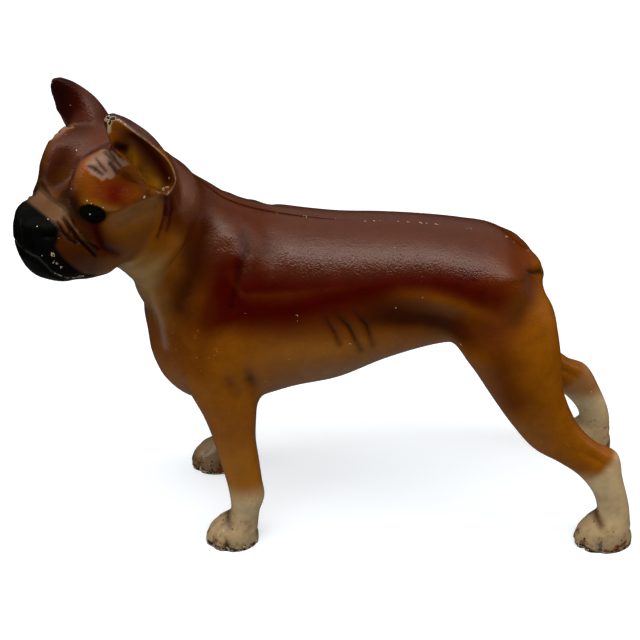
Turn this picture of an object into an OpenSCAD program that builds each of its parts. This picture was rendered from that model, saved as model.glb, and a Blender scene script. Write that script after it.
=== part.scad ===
/* [Trunk] */
// Height of the withers above the floor
withers_h = 151; // [146:1:156]
// Height of the middle of the back above the floor
back_h = 141; // [136:1:145]
// Height of the croup above the floor
croup_h = 134; // [129:1:138]
// Height of the underside of the chest above the floor
brisket_h = 61; // [56:1:66]
// Height of the belly at the flank above the floor
flank_h = 90; // [84:1:95]
// Width across the ribs
chest_w = 65; // [58:1:70]
// Width across the loin
loin_w = 55; // [50:1:60]

/* [Neck and head] */
// Width across the neck
neck_w = 42; // [37:1:46]
// How far the head turns to the dog's left, in degrees
head_turn = 33; // [0:1:38]
// Height of the crown of the head above the floor
crown_h = 187.5; // [184:0.5:191]
// Width across the skull
skull_w = 48; // [44:1:52]
// Width across the upper lips
muzzle_w = 35; // [32:1:39]
// How far the nose stands in front of the stop between the eyes
muzzle_len = 18.5; // [15:0.5:21]
// Height of the ear tips above the floor
ear_h = 208; // [203:1:213]
// Thickness of the ear's rim
ear_rim = 2.6; // [2:0.1:3.4]

/* [Legs] */
// Distance between the middles of the front paws
front_stance = 55; // [50:1:60]
// Distance between the middles of the hind paws
hind_stance = 70; // [64:1:74]
// How far the right front leg stands ahead of the left one
right_lead = 6; // [0:1:8]
// How far the right hind paw stands behind the left one
right_trail = 6; // [0:1:8]
// Thickness of the foreleg from side to side
foreleg_w = 14; // [12:0.5:16]
// Thickness of the hind leg from side to side above the hock
gaskin_w = 14; // [12:0.5:16]
// Width of a paw
paw_w = 20; // [17:1:22]
// Length of a front paw
front_paw_l = 22; // [20:0.5:25]
// Height of a front paw
front_paw_h = 12.5; // [11:0.5:14]
// Length of a hind paw
hind_paw_l = 24.5; // [22:0.5:27]
// Height of a hind paw
hind_paw_h = 15; // [13:0.5:17]

/* [Casting] */
// Thickness of the iron wall
wall = 4.5; // [3.5:0.25:6]
// Gap left between the two halves
parting_gap = 0.3; // [0.2:0.1:0.6]
// Diameter of the screw bosses inside
boss_d = 12; // [10.5:0.5:14]

/* [Screws] */
// Thread diameter of the screws
screw_d = 4.8; // [4:0.2:5.6]
// Diameter of the screw head
screw_head_d = 9; // [8:0.5:10]
// Height of the screw head
screw_head_h = 3; // [2.5:0.25:4]
// How deep the screw head lies below the skin of the flank
screw_sink = 1.2; // [0.8:0.2:2]
// Length of thread held by the left half
thread_grip = 14; // [10:1:18]
// Width of the screwdriver slot
slot_w = 1.2; // [0.8:0.1:1.6]
// Depth of the screwdriver slot
slot_deep = 1.4; // [1:0.1:1.8]
// Clearance all round a screw in its hole
screw_fit = 0.2; // [0.1:0.05:0.4]
// Distance of the shoulder screw from the middle of the figure, towards the head
shoulder_screw_x = 24; // [20:1:28]
// Height of the shoulder screw above the floor
shoulder_screw_z = 106; // [100:1:112]
// Distance of the hip screw from the middle of the figure, towards the tail
hip_screw_x = 46; // [42:1:52]
// Height of the hip screw above the floor
hip_screw_z = 116; // [112:1:120]

/* [Hidden] */

LEFT = -1;
RIGHT = 1;

// The figure is laid out facing -X and looking straight ahead, then moved so that its box is centred
centre_x = -3.35;
centre_y = 1.9;

// The neck turns about an upright line, from no turn at the withers to the full turn at the ears
turn_x = -62;
turn_run = [0.8, 0.6];
turn_from = 130;
turn_to = 152;

// Larger than the figure any way, for what is cut off
room = 300;

// Fineness of the skin: points round a section and steps between two given sections
trunk_n = 24;
limb_n = 16;
steps = 2;

function unit_step(t) = let (u = min(1, max(0, t))) u * u * (3 - 2 * u);

// Turn of the neck at a place beside the mid plane
function turn_at(x, z) =
    head_turn * unit_step((turn_run * [-x, z] - turn_from) / (turn_to - turn_from));

// A point of the straight figure carried to its turned and centred place
function posed(p) =
    let (a = turn_at(p.x, p.z), dx = p.x - turn_x)
    [turn_x + dx * cos(a) - p.y * sin(a) + centre_x, dx * sin(a) + p.y * cos(a) + centre_y, p.z];

// Smooth curve through the rows i and i+1 of a list
function between(rows, i, t) =
    let (last = len(rows) - 1,
         a = rows[max(i - 1, 0)], b = rows[i], c = rows[i + 1], d = rows[min(i + 2, last)])
    0.5 * (2 * b + (c - a) * t + (2 * a - 5 * b + 4 * c - d) * t * t + (3 * b - a - 3 * c + d) * t * t * t);

function smooth(rows) = concat(
    [for (i = [0:len(rows) - 2]) for (j = [0:steps - 1]) between(rows, i, j / steps)],
    [rows[len(rows) - 1]]);

function rounded(c, square) = sign(c) * pow(abs(c), 2 / square);

// One section: a row is [x, z of its first edge, x, z of its opposite edge, y of its middle, half width]
function section(row, n, square) =
    let (mx = (row[0] + row[2]) / 2, mz = (row[1] + row[3]) / 2,
         hx = (row[0] - row[2]) / 2, hz = (row[1] - row[3]) / 2)
    [for (i = [0:n - 1])
        let (c = rounded(cos(360 * i / n), square), s = rounded(sin(360 * i / n), square))
        [mx + hx * c, row[4] + row[5] * s, mz + hz * c]];

// Skin carried through a list of rings of points, closed at both ends; flip turns its faces over
module skin(rings, flip = false) {
    m = len(rings);
    n = len(rings[0]);
    sides = [for (r = [0:m - 2]) for (i = [0:n - 1])
        let (a = r * n + i, b = r * n + (i + 1) % n)
        each [[a, b + n, b], [a, a + n, b + n]]];
    first = [for (i = [1:n - 2]) [0, i, i + 1]];
    last = [for (i = [1:n - 2]) [(m - 1) * n, (m - 1) * n + i + 1, (m - 1) * n + i]];
    faces = concat(sides, first, last);
    polyhedron(points = [for (ring = rings) for (p = ring) p],
        faces = flip ? [for (f = faces) [f[0], f[2], f[1]]] : faces, convexity = 8);
}

// Skin through a list of rows, carried to its turned place
module loft(rows, n, square = 2) {
    skin([for (row = smooth(rows)) [for (p = section(row, n, square)) posed(p)]]);
}

// Lines across the parting, each [how far along the turn, its lower end]: few where it is flat
PARTING = concat([[-room, -60], [turn_from - 30, -60]],
    [for (i = [0:10]) [turn_from + (turn_to - turn_from) * i / 10, -20]], [[room, -20]]);
parting_top = 200;
parting_n = 14;

// Everything on the far side of the parting from one half
module other_side(side) {
    away = -side * room;
    rings = [for (line = PARTING)
        let (edge = [for (i = [0:parting_n])
            let (s = line[0], t = line[1] + (parting_top - line[1]) * i / parting_n,
                 x = turn_run[1] * t - turn_run[0] * s, z = turn_run[1] * s + turn_run[0] * t)
            posed([x, side * parting_gap / 2, z])])
        concat(edge, [[edge[parting_n].x, away, edge[parting_n].z], [edge[0].x, away, edge[0].z]])];
    skin(rings, side == RIGHT);
}

// Rows of the trunk and neck from the rump to the head: top edge, bottom edge, middle, half width
TRUNK = [
    [85.5, croup_h - 18, 84.5, flank_h + 18, 0, 4],
    [83, croup_h - 13, 83, flank_h + 10, 0, loin_w / 2 - 14],
    [77, croup_h - 6.5, 78, flank_h + 5, 0, loin_w / 2 - 6.5],
    [66, croup_h - 0.5, 66, flank_h + 2.5, 0, loin_w / 2 - 1.5],
    [52, croup_h + 3, 52, flank_h - 0.5, 0, loin_w / 2 + 0.5],
    [36, back_h - 1.5, 37, flank_h - 3.5, 0, loin_w / 2],
    [18, back_h - 0.2, 19, flank_h - 9.5, 0, (loin_w + chest_w) / 4 - 1],
    [0, back_h + 0.5, 0, brisket_h + 9.5, 0, chest_w / 2 - 2],
    [-18, back_h + 2.6, -18, brisket_h + 5.5, 0, chest_w / 2 - 0.5],
    [-34, withers_h - 4.2, -36, brisket_h + 1, 0, chest_w / 2],
    [-45, withers_h - 0.2, -53, brisket_h - 0.5, 0, chest_w / 2 - 1.5],
    [-53, withers_h + 5.3, -67, brisket_h + 5, 0, (chest_w + neck_w) / 4 + 1.5],
    [-58.5, withers_h + 10.5, -76, brisket_h + 20, 0, neck_w / 2 + 3],
    [-63, withers_h + 16.5, -80.5, brisket_h + 42, 0, neck_w / 2],
    [-69, withers_h + 22, -87, brisket_h + 60, 0, neck_w / 2 - 1.5],
    [-78, crown_h - 8, -97, crown_h - 54, 0, neck_w / 2 - 3]];

// Rows of the skull from the occiput to the brow
STOP_X = -117;
SKULL = [
    [-72, crown_h - 14, -72, crown_h - 36, 0, skull_w / 2 - 16],
    [-78, crown_h - 6, -78, crown_h - 44, 0, skull_w / 2 - 7],
    [-88, crown_h - 1, -88, crown_h - 50, 0, skull_w / 2 - 2],
    [-98, crown_h, -98, crown_h - 52, 0, skull_w / 2],
    [-108, crown_h - 0.5, -108, crown_h - 51, 0, skull_w / 2 - 0.5],
    [STOP_X + 1, crown_h - 5, STOP_X + 1, crown_h - 50, 0, skull_w / 2 - 2],
    [STOP_X - 4, crown_h - 13, STOP_X - 4, crown_h - 46, 0, skull_w / 2 - 6]];

// Rows of the muzzle from inside the skull to the nose
NOSE_X = STOP_X - muzzle_len;
MUZZLE = [
    [STOP_X + 13, crown_h - 19, STOP_X + 13, crown_h - 47, 0, muzzle_w / 2 - 2],
    [STOP_X + 3, crown_h - 16.5, STOP_X + 3, crown_h - 49.5, 0, muzzle_w / 2 - 0.5],
    [STOP_X - 5, crown_h - 17, STOP_X - 5, crown_h - 50, 0, muzzle_w / 2],
    [NOSE_X + 7, crown_h - 18.5, NOSE_X + 7, crown_h - 48, 0, muzzle_w / 2 - 2.5],
    [NOSE_X + 2.5, crown_h - 20.8, NOSE_X + 2.5, crown_h - 45.5, 0, muzzle_w / 2 - 6],
    [NOSE_X, crown_h - 23.5, NOSE_X, crown_h - 39, 0, muzzle_w / 2 - 10.5]];

// Rows of an ear from its tip down: front edge, rear edge, middle, half thickness
EAR_Y = skull_w / 2 - 4;
EAR_ROOT = crown_h - 19.5;

// Height of a place on the ear, from 0 at its root behind to 1 at its tip
function ear_z(t) = EAR_ROOT + (ear_h - EAR_ROOT) * t;

function ear_rows(side) = [
    [-105.5, ear_z(1), -103.5, ear_z(0.99), side * (EAR_Y - 1), 1],
    [-107.5, ear_z(0.95), -98.3, ear_z(0.9), side * (EAR_Y - 0.5), 2.8],
    [-108, ear_z(0.84), -90.3, ear_z(0.7), side * (EAR_Y + 0.5), 5],
    [-107, ear_z(0.7), -83.8, ear_z(0.44), side * (EAR_Y + 1), 7],
    [-105, ear_z(0.53), -80.5, ear_z(0.18), side * EAR_Y, 8],
    [-104, ear_z(0.3), -82, ear_z(0), side * (EAR_Y - 3), 8]];

// The hollow of an ear, drawn in from the rim and opened outwards
function ear_hollow_rows(side) =
    [for (row = ear_rows(side))
        [row[0] + ear_rim, row[1] - ear_rim, row[2] - ear_rim, row[3] - ear_rim,
         row[4] + side * 2 * ear_rim, max(row[5] - ear_rim / 2, 0.6)]];

// Rows of a front leg from the shoulder to the paw: front edge, back edge, middle, half thickness
FORE_Y = front_stance / 2;
function foreleg_rows(side) =
    let (lead = side == RIGHT ? right_lead : 0, y = side * FORE_Y, w = foreleg_w / 2)
    [[-56, 134, -36, 134, y - side * 14, w],
     [-62, 114, -31, 116, y - side * 8, w + 3.5],
     [-65.5 - lead * 0.2, 92, -32, 96, y - side * 4, w + 4.5],
     [-62 - lead * 0.4, 78, -34 - lead * 0.2, 80, y - side * 2, w + 3.5],
     [-56.5 - lead * 0.6, 66, -34.5 - lead * 0.4, 66, y - side * 0.5, w + 2],
     [-52.5 - lead * 0.7, 54, -34.7 - lead * 0.6, 54, y, w + 1],
     [-49.5 - lead * 0.8, 42, -33.2 - lead * 0.8, 42, y, w + 0.2],
     [-46.8 - lead, 31, -31.8 - lead, 31, y, w - 0.2],
     [-45.6 - lead, 24, -30.8 - lead, 24, y, w],
     [-45 - lead, 17, -32.8 - lead, 16, y, w - 0.6],
     [-46 - lead, 9, -33.5 - lead, 7, y, w]];

// Places of the backs of the left paws
FRONT_HEEL_X = -33.5;
HIND_HEEL_X = 128.5;

// Rows of a paw from heel to toe; heel_x is the back of the paw, the sole is cut off at the floor
function paw_rows(heel_x, length, height, y) =
    let (w = paw_w / 2, keel = -6)
    [[heel_x, height * 0.3, heel_x, keel, y, w - 5.5],
     [heel_x - length * 0.08, height * 0.62, heel_x - length * 0.08, keel, y, w - 2.5],
     [heel_x - length * 0.27, height * 0.92, heel_x - length * 0.27, keel, y, w - 0.8],
     [heel_x - length * 0.5, height, heel_x - length * 0.5, keel, y, w],
     [heel_x - length * 0.74, height * 0.84, heel_x - length * 0.74, keel, y, w - 0.5],
     [heel_x - length * 0.92, height * 0.55, heel_x - length * 0.92, keel, y, w - 2.5],
     [heel_x - length, height * 0.25, heel_x - length, keel, y, w - 5.5]];

// Rows of a hind leg from the rump to the paw: front edge, back edge, middle, half thickness
HIND_Y = hind_stance / 2;
function hindleg_rows(side) =
    let (trail = side == RIGHT ? right_trail : 0, y = side * HIND_Y, w = gaskin_w / 2)
    [[54, 122, 76, 124, y - side * 22, w],
     [44, 106, 85.5, 113, y - side * 15, w + 5],
     [47, 97, 88.5, 102, y - side * 10, w + 6],
     [55, 86, 90.5, 90, y - side * 7, w + 5],
     [62, 75.5, 92, 78, y - side * 5, w + 3.5],
     [71, 62.5, 96.5, 66.5, y - side * 3.5, w + 1.5],
     [81, 50.5, 102, 57.5, y - side * 2.5, w],
     [92, 43.5, 110, 50, y - side * 2, w - 0.7],
     [101.5 + trail * 0.3, 36.5, 118.3 + trail * 0.1, 45.5, y - side * 1.5, w - 0.7],
     [108.5 + trail * 0.7, 28, 121.5 + trail * 0.7, 34, y - side, w - 0.8],
     [112 + trail, 19.5, 125.5 + trail, 21, y - side * 0.5, w - 1],
     [113 + trail, 10, 127.5 + trail, 10, y, w - 0.5]];

// Rows of the docked tail from the rump backwards
TAIL = [
    [86.2, croup_h - 16.5, 85.2, croup_h - 21, 0, 2],
    [84.8, croup_h - 14, 83.3, croup_h - 22, 0, 4],
    [79.5, croup_h - 9, 78.5, croup_h - 21, 0, 5.5]];

// A row drawn in by the wall on every side, for the hollow of the casting
function drawn_in(row) =
    let (dx = row[0] - row[2], dz = row[1] - row[3], size = norm([dx, dz]), k = wall / size)
    [row[0] - dx * k, row[1] - dz * k, row[2] + dx * k, row[3] + dz * k, row[4], row[5] - wall];

function rows_from(rows, first, last) = [for (i = [first:last]) drawn_in(rows[i])];

module hollow() {
    loft(rows_from(TRUNK, 2, len(TRUNK) - 1), trunk_n);
    loft(rows_from(SKULL, 1, len(SKULL) - 2), trunk_n);
}

// Half width of the trunk at a distance along it
function trunk_half_w(x) =
    let (i = max([for (j = [0:len(TRUNK) - 2]) if (TRUNK[j][0] >= x) j]),
         t = (TRUNK[i][0] - x) / (TRUNK[i][0] - TRUNK[i + 1][0]))
    between(TRUNK, i, t)[5];

// Places of the two screws: x, z and the half width of the trunk there
function screw_place(x, z) = [x, z, trunk_half_w(x)];
SHOULDER_SCREW = screw_place(-shoulder_screw_x, shoulder_screw_z);
HIP_SCREW = screw_place(hip_screw_x, hip_screw_z);

// Seat of a screw head and end of its thread, measured from the mid plane
function seat_y(place) = place[2] - screw_sink - screw_head_h;
function tip_y() = -thread_grip - parting_gap / 2;

// Moves a thing drawn along +Z to a screw's axis, pointing out of the right flank
module on_screw(place) {
    translate([place[0] + centre_x, centre_y, place[1]]) rotate([-90, 0, 0]) children();
}

// Boss for a screw, from inside the wall to beyond the parting
module boss(place, side) {
    reach = place[2] - wall / 2;
    on_screw(place) translate([0, 0, side == RIGHT ? -1 : -reach])
        cylinder(d = boss_d, h = reach + 1, $fn = 32);
}

// Hole for a screw: clearance through the right half and a seat for the head
module screw_hole(place) {
    on_screw(place) {
        translate([0, 0, -1]) cylinder(d = screw_d + 2 * screw_fit, h = seat_y(place) + 1, $fn = 32);
        translate([0, 0, seat_y(place)])
            cylinder(d = screw_head_d + 2 * screw_fit, h = screw_head_h + 12, $fn = 32);
    }
}

// Blind hole for a thread in the left half
module thread_hole(place) {
    run_out = 2;
    on_screw(place) translate([0, 0, tip_y() - run_out])
        cylinder(d = screw_d + screw_fit, h = -tip_y() + run_out + 1, $fn = 32);
}

// The hollow figure with the ear, legs, paws and bosses of one side
module figure(side) {
    front_heel = FRONT_HEEL_X - (side == RIGHT ? right_lead : 0);
    hind_heel = HIND_HEEL_X + (side == RIGHT ? right_trail : 0);
    difference() {
        union() {
            loft(TRUNK, trunk_n, 2.2);
            loft(SKULL, trunk_n, 2.7);
        }
        hollow();
    }
    loft(MUZZLE, trunk_n, 2.6);
    loft(TAIL, limb_n);
    difference() {
        loft(ear_rows(side), limb_n);
        loft(ear_hollow_rows(side), limb_n);
    }
    loft(foreleg_rows(side), limb_n, 2.2);
    loft(hindleg_rows(side), limb_n, 2.2);
    loft(paw_rows(front_heel, front_paw_l, front_paw_h, side * FORE_Y), limb_n, 2.4);
    loft(paw_rows(hind_heel, hind_paw_l, hind_paw_h, side * HIND_Y), limb_n, 2.4);
    boss(SHOULDER_SCREW, side);
    boss(HIP_SCREW, side);
}

module below_floor() {
    translate([-room, -room, -room]) cube([2 * room, 2 * room, room]);
}

module left_half() {
    color("saddlebrown") resize([0, 0, 0]) difference() {
        figure(LEFT);
        other_side(LEFT);
        below_floor();
        thread_hole(SHOULDER_SCREW);
        thread_hole(HIP_SCREW);
    }
}

module right_half() {
    color("sienna") resize([0, 0, 0]) difference() {
        figure(RIGHT);
        other_side(RIGHT);
        below_floor();
        screw_hole(SHOULDER_SCREW);
        screw_hole(HIP_SCREW);
    }
}

// Slotted cheese head machine screw, its head on the seat in the right half
module screw(place) {
    seat = seat_y(place);
    color("dimgray") on_screw(place) difference() {
        union() {
            translate([0, 0, tip_y()]) cylinder(d = screw_d, h = seat - tip_y(), $fn = 48);
            translate([0, 0, seat]) cylinder(d = screw_head_d, h = screw_head_h, $fn = 48);
        }
        translate([-screw_head_d, -slot_w / 2, seat + screw_head_h - slot_deep])
            cube([2 * screw_head_d, slot_w, slot_deep + 1]);
    }
}

module shoulder_screw() {
    screw(SHOULDER_SCREW);
}

module hip_screw() {
    screw(HIP_SCREW);
}

left_half();
right_half();
shoulder_screw();
hip_screw();
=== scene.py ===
import itertools
import logging
import math
from dataclasses import dataclass, field, replace
from enum import Enum
from typing import Callable, Iterator, Sequence

import bpy
import numpy as np
from mathutils import Matrix, Vector


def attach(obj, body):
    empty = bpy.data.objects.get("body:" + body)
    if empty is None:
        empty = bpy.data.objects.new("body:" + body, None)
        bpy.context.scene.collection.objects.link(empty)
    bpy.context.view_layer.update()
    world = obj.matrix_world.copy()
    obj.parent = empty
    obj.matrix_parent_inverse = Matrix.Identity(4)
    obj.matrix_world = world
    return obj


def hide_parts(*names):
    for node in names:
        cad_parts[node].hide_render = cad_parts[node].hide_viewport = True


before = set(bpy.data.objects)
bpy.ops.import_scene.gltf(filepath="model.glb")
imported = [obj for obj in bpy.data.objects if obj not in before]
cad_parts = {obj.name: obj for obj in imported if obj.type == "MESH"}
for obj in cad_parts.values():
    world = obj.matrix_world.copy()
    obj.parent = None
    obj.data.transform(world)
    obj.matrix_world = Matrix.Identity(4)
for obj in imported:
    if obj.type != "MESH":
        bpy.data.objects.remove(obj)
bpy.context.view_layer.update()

logging.basicConfig(level=logging.INFO, format="%(message)s")
log = logging.getLogger("doorstop")

Array = np.ndarray
Point = tuple[float, float, float]
Row = tuple[float, float, float, float, float, float]
Edge = tuple[float, float]
Socket = bpy.types.NodeSocket

MM = 0.001
ROOT = "root"
CROWN = 187.5
FAR = 40.0
MARGIN = 2.0
BELL_WIDTHS = 2.6
LOOSE_ROOM = 14.0
SIDEWAYS: Point = (1.0, 0.0, 1.0)
FROM_ABOVE: Point = (1.0, 1.0, 0.0)


class Side(Enum):
    """The two half castings, by the sign of their Y."""

    LEFT = -1
    RIGHT = 1


def ramp(value: Array, low: float, high: float) -> Array:
    """Smooth step: 0 at low, 1 at high, with level ends.

    Args:
        value: Any array.
        low: Value where the step begins; may be above high for a falling step.
        high: Value where the step is complete.

    Returns:
        3u^2 - 2u^3 of the clamped fraction u.
    """
    u = np.clip((value - low) / (high - low), 0.0, 1.0)
    return u * u * (3.0 - 2.0 * u)


def bell(distance: Array, width: float) -> Array:
    """Bell curve exp(-(d/width)^2) of a distance."""
    return np.exp(-np.square(distance / width))


def melt(a: Array, b: Array, reach: float) -> Array:
    """Union of two fields with a fillet: the lesser value, less h^2 k/4 where they differ by less than k.

    Args:
        a: First field, negative inside.
        b: Second field, negative inside.
        reach: k, the difference in mm below which the fillet starts.

    Returns:
        The blended field.
    """
    h = np.maximum(reach - np.abs(a - b), 0.0) / reach
    return np.minimum(a, b) - h * h * (reach / 4.0)


def cut(a: Array, b: Array, reach: float) -> Array:
    """Field a with the solid b taken out of it, with a fillet at the rim."""
    return -melt(-a, b, reach)


@dataclass(frozen=True)
class Bend:
    """Turn of the neck that carries the straight figure to its place.

    The figure is laid out in millimetres facing -X. A point turns about an upright line by an angle that
    grows from nothing at the withers to the full turn at the ears.
    """

    axis_x: float = -62.0
    turn: float = math.radians(33.0)
    run_x: float = -0.8
    run_z: float = 0.6
    start: float = 130.0
    end: float = 152.0
    shift_x: float = -3.35
    shift_y: float = 1.9

    def carry(self, p: Array) -> Array:
        """Turns points of the straight figure to their place.

        Args:
            p: Points, (n, 3), in mm.

        Returns:
            The same points in the part's frame, in mm.
        """
        a = self.turn * ramp(self.run_x * p[:, 0] + self.run_z * p[:, 2], self.start, self.end)
        dx = p[:, 0] - self.axis_x
        x = self.axis_x + dx * np.cos(a) - p[:, 1] * np.sin(a) + self.shift_x
        y = dx * np.sin(a) + p[:, 1] * np.cos(a) + self.shift_y
        return np.stack([x, y, p[:, 2]], axis=1)


def spaced(*stretches: tuple[float, float], stop: float) -> Array:
    """Places along an axis, each stretch (start, step) running at its own step to the next start.

    Args:
        stretches: Start and step of each stretch, in rising order.
        stop: Where the last stretch ends.

    Returns:
        The places, rising.
    """
    starts = [s for s, _ in stretches] + [stop]
    runs = [np.linspace(a, b, max(2, round((b - a) / step) + 1))[:-1]
            for (a, step), b in zip(stretches, starts[1:])]
    return np.concatenate(runs + [[stop]])


@dataclass(frozen=True)
class Lattice:
    """Grid of places round the straight figure, finer at the head, in mm."""

    x: Array
    y: Array
    z: Array

    def window(self, low: Sequence[float], high: Sequence[float]) -> tuple[slice, slice, slice]:
        """Slices of the grid that hold a box.

        Args:
            low: Lowest corner of the box.
            high: Highest corner of the box.

        Returns:
            One slice for each axis.
        """
        spans = []
        for places, a, b in zip((self.x, self.y, self.z), low, high):
            first = max(int(np.searchsorted(places, a)) - 1, 0)
            last = min(int(np.searchsorted(places, b)) + 1, len(places))
            spans.append(slice(first, max(last, first)))
        return tuple(spans)

    def blank(self) -> Array:
        """A field over the whole grid that is far from any solid."""
        return np.full((len(self.x), len(self.y), len(self.z)), FAR, dtype=np.float32)

    def places(self, window: tuple[slice, slice, slice]) -> tuple[Array, Array, Array]:
        """X, Y and Z of a window, shaped to spread over it."""
        wx, wy, wz = window
        return self.x[wx, None, None], self.y[None, wy, None], self.z[None, None, wz]


@dataclass(frozen=True)
class Loft:
    """A rounded profile carried along a path.

    A row is [x, z of its first edge, x, z of the opposite edge, y of its middle, half width]. Between rows
    a smooth curve is followed. The profile is |c|^q + |s|^q = 1, with c along the row and s across it.
    """

    rows: tuple[Row, ...]
    square: float = 2.2
    reach: float = 6.0
    steps: int = 8

    def flipped(self) -> "Loft":
        """The same loft on the other side of the mid plane."""
        rows = tuple((a, b, c, d, -y, w) for a, b, c, d, y, w in self.rows)
        return Loft(rows, self.square, self.reach, self.steps)

    def stations(self) -> Array:
        """Rows along the smooth curve through the given rows.

        Each stretch is a cubic, sloped at a row by half the step between its two neighbours.

        Returns:
            Stations, (m, 6).
        """
        r = np.asarray(self.rows, dtype=float)
        pad = np.vstack([r[:1], r, r[-1:]])
        a, b, c, d = (pad[i:i + len(r) - 1, None] for i in range(4))
        t = (np.arange(self.steps) / self.steps)[None, :, None]
        curve = 0.5 * (2 * b + (c - a) * t + (2 * a - 5 * b + 4 * c - d) * t**2
                       + (3 * b - a - 3 * c + d) * t**3)
        return np.vstack([curve.reshape(-1, 6), r[-1:]])

    def box(self) -> tuple[Array, Array]:
        """Corners of the loft's box, with its fillet.

        Returns:
            The lowest and the highest corner.
        """
        s = self.stations()
        xs = np.concatenate([s[:, 0], s[:, 2]])
        zs = np.concatenate([s[:, 1], s[:, 3]])
        low = np.array([xs.min(), (s[:, 4] - s[:, 5]).min(), zs.min()])
        high = np.array([xs.max(), (s[:, 4] + s[:, 5]).max(), zs.max()])
        return low - self.reach - MARGIN, high + self.reach + MARGIN

    def follow(self, px: Array, pz: Array) -> tuple[Array, Array]:
        """Row of the path that passes through each place of the plane y = 0.

        A place lies between two rows where it is beyond the first and not beyond the second. Of several such
        pairs the one counts whose middle is nearest, and the row is weighed between its two.

        Args:
            px: X of the places, (nx, 1, 1).
            pz: Z of the places, (1, nz, 1).

        Returns:
            The row at each place, (nx, nz, 6), and how far it lies past the path's ends, (nx, nz).
        """
        s = self.stations()
        middle = (s[:, 0:2] + s[:, 2:4]) / 2
        half = (s[:, 0:2] - s[:, 2:4]) / 2
        length = np.linalg.norm(half, axis=1)
        along = half / length[:, None]
        normal = np.stack([-along[:, 1], along[:, 0]], axis=1)
        ahead = np.gradient(middle, axis=0)
        normal *= np.sign(np.sum(normal * ahead, axis=1, keepdims=True))
        beyond = (px - middle[:, 0]) * normal[:, 0] + (pz - middle[:, 1]) * normal[:, 1]
        across = ((px - middle[:, 0]) * along[:, 0] + (pz - middle[:, 1]) * along[:, 1]) / length
        between = (beyond[..., :-1] >= 0) & (beyond[..., 1:] < 0)
        cost = np.where(between, np.abs(across[..., :-1]), np.inf)
        at = np.argmin(cost, axis=-1)
        found = np.isfinite(np.min(cost, axis=-1))
        before = beyond[..., 0] < 0
        last = len(s) - 2
        at = np.where(found, at, np.where(before, 0, last))
        b0 = np.take_along_axis(beyond, at[..., None], -1)[..., 0]
        b1 = np.take_along_axis(beyond, at[..., None] + 1, -1)[..., 0]
        t = np.where(found, b0 / np.where(found, b0 - b1, 1.0), np.where(before, 0.0, 1.0))
        past = np.where(found, 0.0, np.where(before, -b0, b1))
        return s[at] * (1 - t)[..., None] + s[at + 1] * t[..., None], past

    def field(self, x: Array, y: Array, z: Array) -> Array:
        """Distance to the loft's skin at places of a grid, negative inside.

        It is radial in the profile of the row at each place: r (1 - 1/rho), with rho = (|c|^q + |s|^q)^(1/q).

        Args:
            x: Places along X, (nx, 1, 1).
            y: Places along Y, (1, ny, 1).
            z: Places along Z, (1, 1, nz).

        Returns:
            The field, (nx, ny, nz).
        """
        px = x.reshape(-1, 1, 1)
        pz = z.reshape(1, -1, 1)
        row, past = self.follow(px, pz)
        mx, mz = (row[..., 0] + row[..., 2]) / 2, (row[..., 1] + row[..., 3]) / 2
        hx, hz = (row[..., 0] - row[..., 2]) / 2, (row[..., 1] - row[..., 3]) / 2
        h2 = hx**2 + hz**2
        c = ((px[..., 0] - mx) * hx + (pz[..., 0] - mz) * hz) / h2
        span = np.sqrt(h2)
        c, span, past = (v[:, None, :].astype(np.float32) for v in (c, span, past))
        wide = row[:, None, :, 5].astype(np.float32)
        off = (y - row[:, None, :, 4]).astype(np.float32)
        rho = (np.abs(c)**self.square + np.abs(off / wide)**self.square)**(1 / self.square)
        r = np.maximum(np.hypot(c * span, off), 1e-3)
        d = r - r / np.maximum(rho, 1e-4)
        return np.where(past > 0, np.where(d > 0, np.hypot(d, past), np.maximum(d, past)), d)


@dataclass(frozen=True)
class Bulge:
    """An ellipsoid with its long axis along one direction and its flat side facing another."""

    centre: Point
    radii: Point
    along: Point = (1.0, 0.0, 0.0)
    facing: Point = (0.0, 0.0, 1.0)
    reach: float = 5.0

    def flipped(self) -> "Bulge":
        """The same bulge on the other side of the mid plane."""
        turned = [(x, -y, z) for x, y, z in (self.centre, self.along, self.facing)]
        return Bulge(turned[0], self.radii, turned[1], turned[2], self.reach)

    def box(self) -> tuple[Array, Array]:
        """Corners of the bulge's box, with its fillet."""
        r = max(self.radii) + self.reach + MARGIN
        return np.array(self.centre) - r, np.array(self.centre) + r

    def scaled(self, x: Array, y: Array, z: Array) -> list[Array]:
        """Places along the three axes, as shares of the radii.

        Args:
            x: X of the places.
            y: Y of the places.
            z: Z of the places.

        Returns:
            Shares along the long axis, the short axis and the facing axis.
        """
        u = np.array(self.along) / np.linalg.norm(self.along)
        w = np.array(self.facing) - np.dot(self.facing, u) * u
        w /= np.linalg.norm(w)
        v = np.cross(w, u)
        dx, dy, dz = x - self.centre[0], y - self.centre[1], z - self.centre[2]
        return [(dx * k[0] + dy * k[1] + dz * k[2]) / r for k, r in zip((u, v, w), self.radii)]

    def field(self, x: Array, y: Array, z: Array) -> Array:
        """Distance to the ellipsoid, k (k - 1) / |gradient of k^2| / 2, with k the scaled radius.

        Args:
            x: Places along X.
            y: Places along Y.
            z: Places along Z.

        Returns:
            The field over the grid, negative inside.
        """
        shares = self.scaled(x, y, z)
        k = np.sqrt(sum(t * t for t in shares))
        g = np.sqrt(sum((t / r)**2 for t, r in zip(shares, self.radii)))
        return k * (k - 1.0) / np.maximum(g, 1e-4)


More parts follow.
